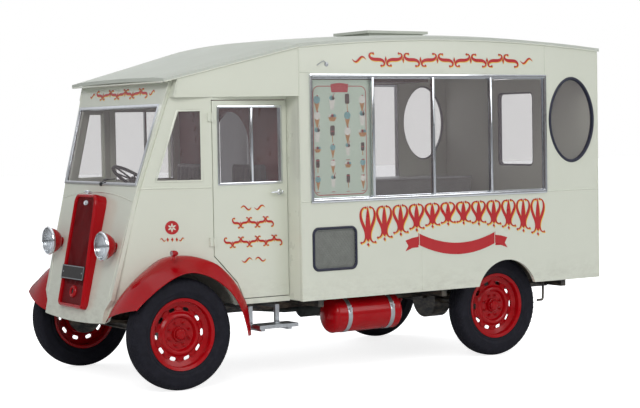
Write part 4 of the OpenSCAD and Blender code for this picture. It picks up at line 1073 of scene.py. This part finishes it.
def scroll_path(x, y, w, h, tilt=0.0, turn=4.6, flip=1, n=44):
    """An S scroll with curled ends (its curvature grows along it), fitted to a box w by h."""
    pts, px, py = [], 0.0, 0.0
    for k in range(n + 1):
        t = 2 * k / n - 1
        a = math.radians(tilt) + turn * t * t * .5
        pts.append((px, py))
        px += math.cos(a) * 2 / n
        py += flip * math.sin(a) * 2 / n
    lo_x, hi_x = min(p[0] for p in pts), max(p[0] for p in pts)
    lo_y, hi_y = min(p[1] for p in pts), max(p[1] for p in pts)
    return [(x + w * ((p[0] - lo_x) / (hi_x - lo_x) - .5), y + h * ((p[1] - lo_y) / (hi_y - lo_y) - .5))
            for p in pts]


class Art:
    """Collects red strokes and their yellow shadows on one plane, each laid a hair over the last."""

    def __init__(self, pl, c=.0003, shadow=(.005, -.006)):
        self.pl, self.c, self.sh, self.red, self.gold, self.n = pl, c, shadow, Shape(), Shape(), 0

    def layer(self):
        self.n += 1
        return self.c + .00007 * (self.n % 9)

    def stroke(self, pts, width):
        c = self.layer()
        strip(self.red, self.pl, pts, width, c + .0010)
        if self.sh:
            strip(self.gold, self.pl, [(x + self.sh[0], y + self.sh[1]) for x, y in pts], width, c, .0006)

    def fill(self, pts):
        c = self.layer()
        self.red.prism(self.pl.line(pts, c + .0010), self.pl.n * .0009)
        if self.sh:
            self.gold.prism(self.pl.line([(x + self.sh[0], y + self.sh[1]) for x, y in pts], c),
                    self.pl.n * .0006)

    def dot(self, x, y, r):
        self.fill([(x + r * math.cos(2 * math.pi * k / 18), y + r * math.sin(2 * math.pi * k / 18))
                for k in range(18)])

    def lozenge(self, x, y, w, h):
        self.fill([(x - w, y), (x, y - h), (x + w, y), (x, y + h)])

    def scroll(self, x, y, w, h, thick, tilt=0.0, flip=1, turn=7.4):
        pts = scroll_path(x, y, w, h, tilt, turn, flip)
        self.stroke(pts, lambda t: thick * (.22 + .78 * math.sin(math.pi * t) ** 1.1))
        for p in (pts[0], pts[-1]):
            self.dot(p[0], p[1], thick * .34)

    def wave(self, x, y, length, height, w, flip=1):
        pts = [(x + length * (t - .5), y + flip * height / 2 * math.sin(2 * math.pi * (t - .5)))
                for t in (k / 22 for k in range(23))]
        self.stroke(pts, lambda t: w * (.2 + .8 * math.sin(math.pi * t)))

    def done(self, name, body="root"):
        self.red.done(name, RED_SIGN, body, "red_paint", sharp=8)
        if self.gold.v:
            self.gold.done(name + "_shadow", GOLD, body, sharp=8)


for s, tag in ((1, "left"), (-1, "right")):
    P = SIDE[s]
    # bold band of scrolls and buds under the serving window, its lower edge arched
    a = Art(P, shadow=(.007, -.008))
    cells = 12
    cw = 1.90 / cells
    for k in range(cells):
        t = (k + .5) / cells
        y = (1.500 + 1.90 * t) * s
        e = abs(2 * t - 1)
        top, h = 1.318, .170 + .150 * e ** 1.6
        b0 = top - h
        a.fill(petal(y, b0 + h * .10, y, top, .044))
        for q in (-1, 1):
            a.scroll(y + q * cw * .275, b0 + h * .50, cw * .32, h * .92, .026, 60, q, 4.6)
            a.fill(petal(y, b0 + h * .06, y + q * cw * .17, b0 + h * .40, .020))
        a.lozenge(y, b0 - .004, .012, .015)
    a.done("side_band_" + tag)
    # line of scrolls over the window
    a = Art(P, shadow=(.005, -.006))
    zc = 2.462
    for y in (1.520, 3.215):
        a.wave(y * s, zc, .13, .040, .016, s)
    for k in range(9):
        y = (1.690 + .170 * k) * s
        a.scroll(y, zc, .144, .100, .026, 0, 1 if k % 2 else -1)
        if k < 8:
            a.lozenge(y + .085 * s, zc, .010, .026)
    a.done("top_scrolls_" + tag)
    # blank ribbon
    main, tails, edge = Shape(), Shape(), Shape()

    def sag(y):
        t = (y - 2.465) / .395
        return .935 + .085 * t * t - .012 * t

    ys = [2.070 + .79 * k / 24 for k in range(25)]
    top_e = [(y * s, sag(y) + .050) for y in ys]
    low_e = [(y * s, sag(y) - .048) for y in ys]
    for k in range(24):
        main.prism(P.line([low_e[k], low_e[k + 1], top_e[k + 1], top_e[k]], .0014), P.n * .0010)
    strip(edge, P, top_e, lambda t: .004, .0026)
    strip(edge, P, low_e, lambda t: .004, .0026)
    for yy in (2.078, 2.852):
        strip(edge, P, [(yy * s, sag(yy) - .048), (yy * s, sag(yy) + .050)], lambda t: .004, .0026)
    for q, y0 in ((-1, 2.070), (1, 2.860)):
        z0 = sag(y0)
        tails.prism(P.line([((y0) * s, z0 + .020), ((y0) * s, z0 - .066), ((y0 + q * .060) * s, z0 - .068),
                ((y0 + q * .130) * s, z0 - .092),
                            ((y0 + q * .100) * s, z0 - .050), ((y0 + q * .128) * s, z0 - .006),
                                    ((y0 + q * .060) * s, z0 + .012)], .0002), P.n * .0010)
    main.done("ribbon_" + tag, RED_SIGN, slot="red_paint")
    tails.done("ribbon_tails_" + tag, RED_SIGN, slot="red_paint")
    edge.done("ribbon_edging_" + tag, CREAM, slot="cream_paint")
    # cab door: pairs of small waves with two rows of scrolls between
    a = Art(DOOR[s], shadow=(.0035, -.0045))
    for z, f in ((1.337, 1), (.940, -1)):
        for q in (-1, 1):
            a.wave((.640 + q * .060) * s, z, .092, .030, .011, f * q * s)
    for z, count in ((1.225, 5), (1.080, 7)):
        for k in range(count):
            y = .640 + .074 * (k - (count - 1) / 2)
            a.scroll(y * s, z, .064, .076, .016, 0, 1 if k % 2 else -1)
            if k < count - 1:
                a.lozenge((y + .037) * s, z, .005, .010)
    a.done("door_ornament_" + tag, "door_" + tag)
    # badge disc with a small star of petals, on the tapered side
    T = TAPER[s]
    bx = (.016 - .301) * math.sqrt(1.2304) * s
    a = Art(T, shadow=None)
    a.dot(bx, 1.207, .052)
    a.done("badge_" + tag)
    w = Shape()
    for k in range(6):
        an = math.pi / 6 + math.pi * k / 3
        w.prism(T.line(petal(bx + .004 * math.cos(an), 1.207 + .004 * math.sin(an),
                bx + .034 * math.cos(an), 1.207 + .034 * math.sin(an), .013), .0024 + .00007 * k),
                        T.n * .0006)
    w.done("badge_star_" + tag, CREAM, slot="cream_paint", sharp=8)
    a = Art(T, shadow=(.002, -.003))
    for q in (-1, 0, 1):
        a.lozenge(bx + q * .034, 1.118, .009, .016)
        if q:
            a.wave(bx + q * .070, 1.118, .040, .022, .007, q)
    a.done("badge_line_" + tag)

# header over the windscreen
a = Art(SCREEN, shadow=(.004, -.005))
zc = .735
for k in range(7):
    x = -.390 + .130 * k
    a.scroll(x, zc, .108, .072, .020, 0, 1 if k % 2 else -1)
    if k < 6:
        a.lozenge(x + .065, zc, .008, .019)
for x in (-.515, .515):
    a.wave(x, zc, .085, .032, .012, 1)
a.done("header_scrolls")

# ---------------------------------------------------------------- menu board, in the first bay
lo, hi = box("menu_board")
MB = Plane((hi.x, 0, 0), (0, 1, 0), (0, 0, 1))
y0, y1, z0, z1 = WY0 + .040, WY0 + bay - .030, WZ0 + .042, WZ1 - .085
MX = BODY_X - .0345 - hi.x
brd = Shape().prism(MB.line(rounded(y0 - .012, z0 - .018, y1 + .012, z1 + .020, .012), MX), (.0035, 0, 0))
brd.done("menu_face", BOARD, slot="menu_panel")
front = MX + .0036
line_ = Shape().ring(MB.line(rounded(y0 + .012, z0 + .012, y1 - .012, z1 - .006, .055, 8), front),
        MB.line(rounded(y0 + .0175, z0 + .0175, y1 - .0175, z1 - .0115, .050, 8), front), MB.n * .0008)
ym = (y0 + y1) / 2
line_.prism(MB.line([(ym - .075, z1 - .056), (ym + .075, z1 - .056), (ym + .083, z1 + .006),
        (ym + .040, z1 + .013), (ym, z1 + .016), (ym - .040, z1 + .013), (ym - .083, z1 + .006)], front),
                MB.n * .0014)
tint = {}


def tone(name, color):
    if name not in tint:
        t = Mat("menu_" + name, color, .45)
        t.mottle(25, .2, .82)
        tint[name] = (t.m, Shape())
    return tint[name][1]


CONE, MINT, PINK = tone("wafer", rgb(196, 140, 78)), tone("cup", rgb(126, 176, 178)), tone("berry",
        rgb(186, 52, 66))
MILK, COCOA = tone("cream", rgb(236, 236, 226)), tone("cocoa", rgb(70, 42, 34))
step_y, step_z = (y1 - y0 - .10) / 3, (z1 - z0 - .25) / 5
for row in range(6):
    for col in range(4):
        x, z = y0 + .050 + step_y * col, z1 - .125 - step_z * row
        kind = (row * 3 + col) % 5
        sc = 1.45 if row < 3 else 1.15
        f = front
        if kind in (0, 3):      # cone with a ball
            CONE.prism(MB.line([(x - .017 * sc, z - .004), (x + .017 * sc, z - .004),
                    (x + .002, z - .062 * sc), (x - .002, z - .062 * sc)], f), MB.n * .0007)
            disc(MINT if kind == 0 else MILK, MB, x, z + .012, .021 * sc, f, 20, .001)
            disc(PINK, MB, x + .004, z + .030 * sc, .006, f + .001, 12)
        elif kind == 1:         # tall glass
            MILK.prism(MB.line([(x - .019 * sc, z + .020), (x + .019 * sc, z + .020),
                    (x + .011 * sc, z - .046 * sc), (x - .011 * sc, z - .046 * sc)], f), MB.n * .0007)
            disc(MINT, MB, x - .007, z + .026, .013 * sc, f + .0007, 16)
            disc(COCOA, MB, x + .009, z + .024, .010 * sc, f + .0007, 16)
            strip(PINK, MB, [(x + .004, z + .03), (x + .022, z + .062)], lambda t: .004, f + .0014)
        elif kind == 2:         # block on a stick
            COCOA.prism(MB.line(rounded(x - .014 * sc, z - .020, x + .014 * sc, z + .040 * sc, .010), f),
                    MB.n * .0008)
            strip(CONE, MB, [(x, z - .018), (x, z - .050 * sc)], lambda t: .006, f)
        else:                   # dish with three balls
            for q in (-1, 0, 1):
                disc((MILK, PINK, MINT)[q + 1], MB, x + q * .014 * sc, z + .008, .011 * sc, f, 16)
            CONE.prism(MB.line([(x - .028 * sc, z), (x + .028 * sc, z), (x + .014 * sc, z - .022 * sc),
                    (x - .014 * sc, z - .022 * sc)], f + .001), MB.n * .0007)
        strip(PINK, MB, [(x - .016, z - .076 * sc), (x + .016, z - .076 * sc)], lambda t: .005, f)
line_.done("menu_border", RED_SIGN, slot="red_paint")
for k, (mat, shp) in tint.items():
    shp.done("menu_" + k + "_motifs", mat)

# ---------------------------------------------------------------- vents, tank, hook, brackets
m = Mat("vent_backing", rgb(146, 148, 142), .6)
m.mottle(18, .2, .75).rough_by(30, .08).bump(m.noise(90, 3), .2, .0008)
VENT_BACK = m.m
lo, hi = box("vent_grilles")
vy0, vy1, vz0, vz1 = lo.y - FA, hi.y - FA, lo.z, hi.z
for s, tag in ((1, "left"), (-1, "right")):
    P = SIDE[s]

    def vl(g, c):
        return P.line([(y * s, z) for y,
                z in rounded(vy0 + g, vz0 + g, vy1 - g, vz1 - g, .055 - g * .8, 8)], c)

    fr = Shape()
    loft_rings(fr,
            [vl(g, c) for g,
                    c in ((0, .0004), (.001, .006), (.006, .010), (.014, .010), (.020, .006),
                            (.021, -.004))])
    fo = fr.done("vent_seal_" + tag, NAVY, slot="seal_rubber", sharp=50)
    if s == 1:
        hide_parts("vent_grilles")
    wires = Shape()
    w_, h_ = vy1 - vy0 - .036, vz1 - vz0 - .036
    pitch, long_ = .0165, .026
    rows_, cols_ = int(h_ / pitch), int(w_ / long_)
    for i in range(rows_ + 1):
        z = vz0 + .018 + h_ * i / rows_
        pts = []
        for j in range(2 * cols_ + 1):
            y = vy0 + .018 + w_ * j / (2 * cols_)
            pts.append(((y) * s, z + (.0062 if (j + i) % 2 else -.0062)))
        pts = [p for p in pts if vz0 + .016 < p[1] < vz1 - .016]
        strip(wires, P, pts, lambda t: .0030, .0006 + .0004 * (i % 2), .0022)
    wires.done("vent_mesh_" + tag, MESH, slot="vent_mesh")
    Shape().prism(vl(.016, -.014), P.n * .004).done("vent_back_" + tag, VENT_BACK, slot="vent_mesh")

lo, hi = box("gas_tank")
tc, tr = Vector(((lo.x + hi.x) / 2, 0, 0)), (hi.x - lo.x) / 2
tz = lo.z + tr
ty0, ty1 = lo.y - FA, hi.y - FA
tk = Shape()
prof = [(0, .002), (tr * .35, .006), (tr * .62, .014), (tr * .84, .026), (tr * .95, .040),
        (tr * .985, .052), (tr * .997, .066)]
L_ = ty1 - ty0
tk.lathe(prof + [(r_, L_ - h_) for r_, h_ in prof[::-1]], (tc.x, ty0, tz), (0, 1, 0), 72)
for y in (ty0 + .058, ty1 - .058):
    tk.lathe([(tr * .998, -.006), (tr + .0005, -.003), (tr + .0005, .003), (tr * .998, .006)],
            (tc.x, y, tz), (0, 1, 0), 72)
tk.block((tc.x - .04, ty0 + .13, tz + tr * .8), (tc.x + .04, ty0 + .17, hi.z))
tk.block((tc.x - .04, ty1 - .17, tz + tr * .8), (tc.x + .04, ty1 - .13, hi.z))
tk.lathe([(.020, 0), (.020, .010), (.012, .014), (.012, .030), (.018, .032), (.018, .044), (0, .046)],
        (tc.x, ty1 - .006, tz + .02), (0, 1, 0), 24)
tk.done("tank_shell", RED, slot="red_paint", replaces=("gas_tank",), sharp=45)
st = Shape()
for y in (ty0 + .150, ty1 - .130):
    st.lathe([(tr + .0002, -.019), (tr + .0022, -.018), (tr + .0022, .018), (tr + .0002, .019)],
            (tc.x, y, tz), (0, 1, 0), 72)
    st.block((tc.x + tr - .004, y - .012, tz + .05), (tc.x + tr + .010, y + .012, tz + .066))
    st.tube([(tc.x + tr + .005, y, tz + .030), (tc.x + tr + .003, y, tz + .085)], .004, 8)
st.done("tank_straps", ALLOY, slot="bright_alloy", bevel=.0006)

hk = Shape()
hk.lathe([(.018, 0), (.017, .004), (.010, .007), (0, .0075)], (1.060, 1.215, 2.420), (1, 0, 0), 24)
hk.tube([(1.062, 1.215, 2.420), (1.070, 1.205, 2.432), (1.0715, 1.185, 2.446), (1.0715, 1.160, 2.436),
        (1.0710, 1.135, 2.420), (1.0710, 1.122, 2.412)], .0035, 10)
hk.done("awning_hook", STEEL, slot="stainless")
br = Shape()
for s in (1, -1):
    br.tube([(s * .950, 3.465, .606), (s * .950, 3.465, .52), (s * .950, 3.462, .452),
            (s * .950, 3.452, .441), (s * .950, 3.40, .440)], .010, 12)
    br.prism([(s * .935, 3.43, .606), (s * .965, 3.43, .606), (s * .965, 3.50, .606),
            (s * .935, 3.50, .606)], (0, 0, -.006))
br.done("rear_brackets", BLACK, slot="black_chassis")

# ---------------------------------------------------------------- padded seats
def lattice_box(counts):
    """Surface points of a box lattice and its faces; each point is (i, j, k)."""
    seen, pts, faces = {}, [], []

    def at_(p):
        if p not in seen:
            seen[p] = len(pts)
            pts.append(p)
        return seen[p]

    for axis in range(3):
        a, b = [q for q in range(3) if q != axis]
        for end in (0, counts[axis]):
            for i in range(counts[a]):
                for j in range(counts[b]):
                    quad = []
                    for di, dj in ((0, 0), (1, 0), (1, 1), (0, 1)):
                        p = [0, 0, 0]
                        p[axis], p[a], p[b] = end, i + di, j + dj
                        quad.append(at_(tuple(p)))
                    faces.append(quad)
    return pts, faces


def cushion(name, lo, hi, out, pitch, counts, crown=.020, radius=.030):
    """A crowned pad between lo and hi; out is the axis its face looks along, and which way."""
    lo, hi = Vector(lo), Vector(hi)
    axis, sign = out
    centre, half = (lo + hi) / 2, (hi - lo) / 2
    half[axis] -= crown / 2
    centre[axis] -= sign * crown / 2
    a, b = [q for q in range(3) if q != axis]

    def shape(u):
        """u is a point of the unit cube's surface, -1 to 1 on each axis."""
        p = Vector([u[q] * half[q] for q in range(3)])
        inner = Vector([max(-(half[q] - radius), min(half[q] - radius, p[q])) for q in range(3)])
        d = p - inner
        p = inner + (d.normalized() * radius if d.length > 1e-9 else d)
        for q, o in ((a, b), (b, a)):      # sides pull in between the corners
            p[q] -= .009 * u[q] * (1 - u[o] ** 2) ** 1.5 * (.6 + .4 * u[axis] * sign)
        face = max(0.0, u[axis] * sign)
        dome = (1 - u[a] ** 4) * (1 - u[b] ** 4)
        ribs = abs(math.sin(math.pi * (u[a] * half[a]) / pitch)) ** .55
        lift = crown * dome * (.45 + .55 * ribs) * face ** 3
        p[axis] += sign * lift
        return centre + p

    pts, faces = lattice_box(counts)
    sh = Shape()
    sh.add([shape([2 * p[q] / counts[q] - 1 for q in range(3)]) for p in pts], faces)
    o = sh.done(name, LEATHER, slot="seat_leather", sharp=180)
    # piping round the face and round the foot of the pad
    pipe = Shape()
    for level in (.62, -.70):
        loop = []
        for k in range(96):
            t = 8 * k / 96
            side, f = int(t // 2), t % 2 - 1
            u = [0, 0, 0]
            u[a], u[b] = ((f, -1), (1, f), (-f, 1), (-1, -f))[side]
            u[axis] = sign * level
            v = shape(u)
            loop.append(v)
        pipe.tube(loop, .0042, 8, closed=True)
    pipe.done(name + "_piping", LEATHER, slot="seat_leather")
    # a row of stitches beside the piping
    stitch = Shape()
    for k in range(60):
        t = 8 * (k + .5) / 60
        side, f = int(t // 2), t % 2 - 1
        u = [0, 0, 0]
        u[a], u[b] = ((f * .93, -.93), (.93, f * .93), (-f * .93, .93), (-.93, -f * .93))[side]
        u[axis] = sign
        p0 = shape(u)
        step = Vector((0, 0, 0))
        step[a if side % 2 == 0 else b] = .0045
        stitch.tube([p0 - step, p0 + step], .0009, 6)
    stitch.done(name + "_stitches", CREAM_IN, slot="seat_leather")
    return o


FLOOR_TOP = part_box("seats")[0][2]
for s, tag in ((1, "left"), (-1, "right")):
    x = s * .460
    yb = .960
    z0 = FLOOR_TOP
    base = Shape()
    base.prism([(x + a, b, z0) for a, b in rounded(-.198, yb - .438, .198, yb - .062, .025)], (0, 0, .300))
    base.prism([(x + a, b, z0 + .300) for a, b in rounded(-.206, yb - .450, .206, yb - .056, .028)],
            (0, 0, .016))
    base.prism([(x + a, b, z0 + .001) for a, b in rounded(-.200, yb - .440, .200, yb - .060, .025)],
            (0, 0, .018))
    for q in (-1, 1):                       # pressed panel on each side, and its latch
        base.prism([(x + q * .197, b, z0 + c) for b, c in rounded(yb - .400, .050, yb - .100, .260, .02)],
                (q * .002, 0, 0))
    base.prism([(x + a, yb - .437, z0 + c) for a, c in rounded(-.150, .050, .150, .260, .02)],
            (0, -.003, 0))
    base.lathe([(.012, 0), (.011, .004), (.005, .006), (0, .007)], (x, yb - .440, z0 + .235), (0, -1, 0),
            20)
    base.done("seat_base_" + tag, BLACK, slot="black_chassis", bevel=.0015,
            replaces=("seats",) if s == 1 else ())
    cushion("seat_cushion_" + tag, (x - .219, yb - .469, z0 + .3165), (x + .219, yb - .052, z0 + .434),
            (2, 1), .0730, (66, 44, 12))
    cushion("seat_back_" + tag, (x - .219, yb - .150, z0 + .436), (x + .219, yb - .0615, z0 + 1.018),
            (1, -1), .0730, (66, 12, 60), crown=.018, radius=.026)
    arm = Shape()
    for q in (-1, 1):
        arm.tube([(x + q * .150, yb - .070, z0 + .31), (x + q * .150, yb - .058, z0 + .42),
                (x + q * .150, yb - .056, z0 + .70)], .008, 10)
    arm.done("seat_frame_" + tag, BLACK, slot="black_chassis")

# ---------------------------------------------------------------- controls
lo, hi = box("steering_wheel")
wc = Vector(((lo.x + hi.x) / 2, .300, 1.535))
wn = Vector((0, math.cos(math.radians(55)), math.sin(math.radians(55))))
hub = Shape()
hub.lathe([(.0345, -.016), (.0352, -.002), (.0350, .010), (.030, .0165), (.024, .0175), (.022, .0210),
        (.012, .0240), (0, .0245)], wc, wn, 40)
hub.lathe([(.0225, .0172), (.0235, .0190), (.0225, .0205), (.0205, .0195)], wc, wn, 40)
su = Vector((1, 0, 0))
sv = wn.cross(su)
for deg in (90, 210, 330):
    d = su * math.cos(math.radians(deg)) + sv * math.sin(math.radians(deg))
    hub.tube([wc + d * .030, wc + d * .060, wc + d * .120, wc + d * .186],
            lambda t: .0092 - .0020 * math.sin(math.pi * t), 12)
for k in range(36):                         # finger grips behind the rim
    an = 2 * math.pi * k / 36
    d = su * math.cos(an) + sv * math.sin(an)
    hub.lathe([(.0136, -.0035), (.0142, 0), (.0136, .0035)], wc + d * .197, d.cross(wn), 14)
hub.done("steering_wheel_detail", PLASTIC, "steering_wheel", "black_plastic")

lo, hi = box("dashboard")
gz = (lo.z + hi.z) / 2 + .012
dial, face_, bez = Shape(), Shape(), Shape()
gy = hi.y - FA
for x in (-.395, -.270, .020):
    r_ = .045 if x < 0 else .032
    bez.lathe([(r_ - .004, 0), (r_ + .003, .001), (r_ + .004, .006), (r_, .009), (r_ - .005, .007)],
            (x, gy - .001, gz), (0, 1, 0), 40)
    face_.lathe([(r_ - .003, .0012), (r_ - .003, .003), (0, .003)], (x, gy - .001, gz), (0, 1, 0), 40)
    for k in range(11):
        an = math.radians(-40 + 26 * k)
        d = Vector((math.cos(an), 0, math.sin(an)))
        c0 = Vector((x, gy + .0024, gz))
        dial.tube([c0 + d * (r_ * .72), c0 + d * (r_ * .86)], .0008, 6)
    an = math.radians(150)
    d = Vector((math.cos(an), 0, math.sin(an)))
    dial.tube([Vector((x, gy + .0030, gz)), Vector((x, gy + .0030, gz)) + d * r_ * .7], .0010, 6)
for k in range(5):
    bez.lathe([(.004, 0), (.004, .010), (.009, .012), (.010, .020), (.007, .024), (0, .025)],
            (.130 + .060 * k, gy - .001, gz - .005), (0, 1, 0), 20)
face_.done("gauge_faces", PLASTIC, slot="black_plastic")
bez.done("gauge_bezels", CHROME, slot="bright_alloy")
dial.done("gauge_marks", CREAM_IN, slot="cream_paint")

# gear lever and hand brake on the engine cover
lev = Shape()
for x, y, h, lean in ((-.035, .560, .400, .055), (.090, .620, .300, .030)):
    top_z = 1.127
    lev.tube([(x, y, top_z - .004), (x, y + lean * .3, top_z + h * .5), (x, y + lean, top_z + h)],
            lambda t: .0085 - .003 * t, 12)
    lev.lathe([(0, -.004), (.013, 0), (.018, .010), (.017, .022), (.009, .031), (0, .033)],
            (x, y + lean, top_z + h - .004), (0, 0, 1), 24)
    lev.lathe([(.048, 0), (.046, .006), (.036, .012), (.030, .024), (.020, .034), (.012, .046), (.0, .047)],
            (x, y, top_z), (0, 0, 1), 28)
lev.done("cab_levers", PLASTIC, slot="black_plastic")

# ---------------------------------------------------------------- machine and counter
lo, hi = box("ice_cream_machine")
mx, my0, my1, mz0, mz1 = hi.x - .100, lo.y - FA, hi.y - FA, lo.z, hi.z
mm = Shape()
mm.prism([(mx + .001, y, z) for y, z in rounded(my0 + .014, mz0 + .045, my1 - .014, mz1 - .012, .012)],
        (.0022, 0, 0))
for k in range(9):                           # louvres low on the front
    z = mz0 + .075 + .014 * k
    mm.prism([(mx + .003, my0 + .07, z), (mx + .003, my1 - .07, z), (mx + .003, my1 - .07, z + .004),
            (mx + .003, my0 + .07, z + .004)], (.006, 0, .004))
for q in (0, 1):
    y = my0 + .130 + .160 * q
    mm.lathe([(.020, 0), (.022, .010), (.022, .030), (.018, .050), (.018, .078), (.012, .080)],
            (mx + .032, y, mz0 + .262), (0, 0, 1), 28)
    mm.tube([(mx + .060, y, mz0 + .40), (mx + .086, y, mz0 + .43), (mx + .094, y, mz0 + .475)], .0055, 12)
mm.lathe([(.016, 0), (.015, .008), (.006, .011), (0, .012)], (mx + .060, (my0 + my1) / 2, mz0 + .50),
        (1, 0, 0), 28)
for z in (mz0 + .345, mz0 + .555):
    mm.tube([(mx + .0605, my0 + .075, z), (mx + .0605, my1 - .075, z)], .0022, 8)
for k in range(7):                           # bars of the drip tray
    y = my0 + .090 + .040 * k
    mm.tube([(mx + .004, y, mz0 + .0505), (mx + .094, y, mz0 + .0505)], .0022, 8)
mm.done("machine_detail", STEEL, slot="stainless", bevel=.0005)
kn = Shape()
for q in (0, 1):
    y = my0 + .130 + .160 * q
    kn.lathe([(0, -.004), (.010, 0), (.014, .010), (.013, .022), (.007, .030), (0, .031)],
            (mx + .094, y, mz0 + .470), (0, 0, 1), 24)
for k in range(3):
    kn.lathe([(.011, 0), (.011, .006), (.008, .010), (0, .011)],
            (mx + .0605, my0 + .110 + .100 * k, mz0 + .525), (1, 0, 0), 20)
kn.done("machine_knobs", PLASTIC, slot="black_plastic")

lo, hi = box("counter")
cx_, cz_ = -1.030 + .520, hi.z
ct = Shape()
cy0, cy1 = lo.y - FA + .006, hi.y - FA - .006
ct.tube([(cx_ + .0205, cy0, cz_ - .012), (cx_ + .0205, cy1, cz_ - .012)], .0100, 12)
for k in range(6):
    y0_ = cy0 + .020 + (cy1 - cy0 - .04) / 6 * k
    y1_ = y0_ + (cy1 - cy0 - .04) / 6 - .014
    if y1_ < 2.55 or y0_ > 3.40:
        ct.prism([(cx_ + .0005, y, z) for y, z in rounded(y0_, FLOOR_TOP + .030, y1_, cz_ - .050, .010)],
                (.0030, 0, 0))
        ct.tube([(cx_ + .004, y1_ - .05, cz_ - .10), (cx_ + .020, y1_ - .05, cz_ - .10),
                (cx_ + .020, y1_ - .05, cz_ - .20), (cx_ + .004, y1_ - .05, cz_ - .20)], .0040, 10)
ct.done("cupboard_doors", STEEL, slot="stainless")

# ---------------------------------------------------------------- rear and underside
rr, rl_ = Shape(), Shape()
for s in (1, -1):
    c = (s * .940, box("rear_lamps")[0].y - FA, .760)
    rr.lathe([(.0420, 0), (.0425, .006), (.0425, .0118), (.0395, .0145), (.0360, .0150), (.0350, .0120)], c,
            (0, 1, 0), 48)
    for k in range(3):
        an = 2 * math.pi * k / 3 + .5
        rr.lathe([(.0030, 0), (.0028, .0020), (0, .0025)],
                (c[0] + .0390 * math.cos(an), c[1] + .0140, c[2] + .0390 * math.sin(an)), (0, 1, 0), 10)
    for r_ in (.010, .017, .024, .031):
        rl_.lathe([(r_ - .0018, .0180 if r_ < .03 else .0170), (r_, .0192 if r_ < .03 else .0182),
                (r_ + .0018, .0180 if r_ < .03 else .0170)], c, (0, 1, 0), 48)
rr.done("rear_lamp_bezels", CHROME, slot="bright_alloy")
rl_.done("rear_lamp_ribs", LENS_RED, slot="lamp_red")

hd = Shape()
dz, dx = 1.330, -.285
plane_y = 4.012
hd.lathe([(.026, 0), (.025, .005), (.014, .008), (.011, .020), (0, .021)], (dx, plane_y, dz), (0, 1, 0), 28)
hd.tube([(dx, plane_y + .017, dz), (dx + .055, plane_y + .018, dz - .003),
        (dx + .110, plane_y + .016, dz - .004)], lambda t: .0075 - .002 * t, 12)
hd.done("rear_door_handle", CHROME, "rear_door", "bright_alloy")

ex = Shape()
ex.tube([(.245, .55, .560), (.250, .90, .500), (.255, 1.30, .455), (.258, 1.42, .455)], .021, 16)
ex.lathe([(.021, 0), (.056, .018), (.070, .034), (.070, .560), (.056, .576), (.021, .594)],
        (.258, 1.42, .455), (0, 1, 0), 36)
ex.tube([(.258, 2.01, .455), (.258, 2.20, .455), (.262, 2.36, .455)], .021, 16)
for y in (1.62, 1.84):
    ex.lathe([(.0715, -.010), (.0728, -.009), (.0728, .009), (.0715, .010)], (.258, y, .455), (0, 1, 0), 36)
    ex.tube([(.258, y, .527), (.258, y, .606)], .006, 10)
ex.done("exhaust_pipe", IRON, slot="engine_iron")

ub = Shape()
lo, hi = box("leaf_springs")
for s in (1, -1):
    for y, top in ((-.046, .50), (.046, .50), (2.987 - .046, .56), (2.987 + .046, .56)):
        x = s * (hi.x - .034)
        ub.tube([(x - .038, y, top - .085), (x - .038, y, top + .050), (x - .026, y, top + .062),
                (x + .026, y, top + .062), (x + .038, y, top + .050), (x + .038, y, top - .085)], .0062, 8)
ub.done("spring_u_bolts", BLACK, slot="black_chassis")

wp = Shape()
base_w = SCREEN.point(.035, .012, .004)
tip_w = SCREEN.point(.150, .050, .010)
wp.lathe([(.017, 0), (.016, .010), (.009, .016), (0, .018)], base_w, SCREEN.n, 24)
wp.tube([base_w + SCREEN.n * .012, (base_w + tip_w) / 2 + SCREEN.n * .014, tip_w], .0034, 10)
b0_, b1_ = SCREEN.point(.060, .046, .0065), SCREEN.point(.250, .056, .0065)
wp.tube([b0_, (b0_ + b1_) / 2, b1_], .0042, 8)
wp.done("wiper", PLASTIC, slot="black_plastic")

# red inner posts behind the serving window's bars
post = Shape()
for k in range(5):
    w_ = .030 if k == 1 else .014
    y = min(max(WY0 + bay * k, WY0 + w_ + .004), WY1 - w_ - .004)
    post.block((1.0235, y, WZ0 + .004), (1.0295, y + w_, WZ1 - .004))
post.done("window_posts", RED, slot="red_paint", bevel=.001)
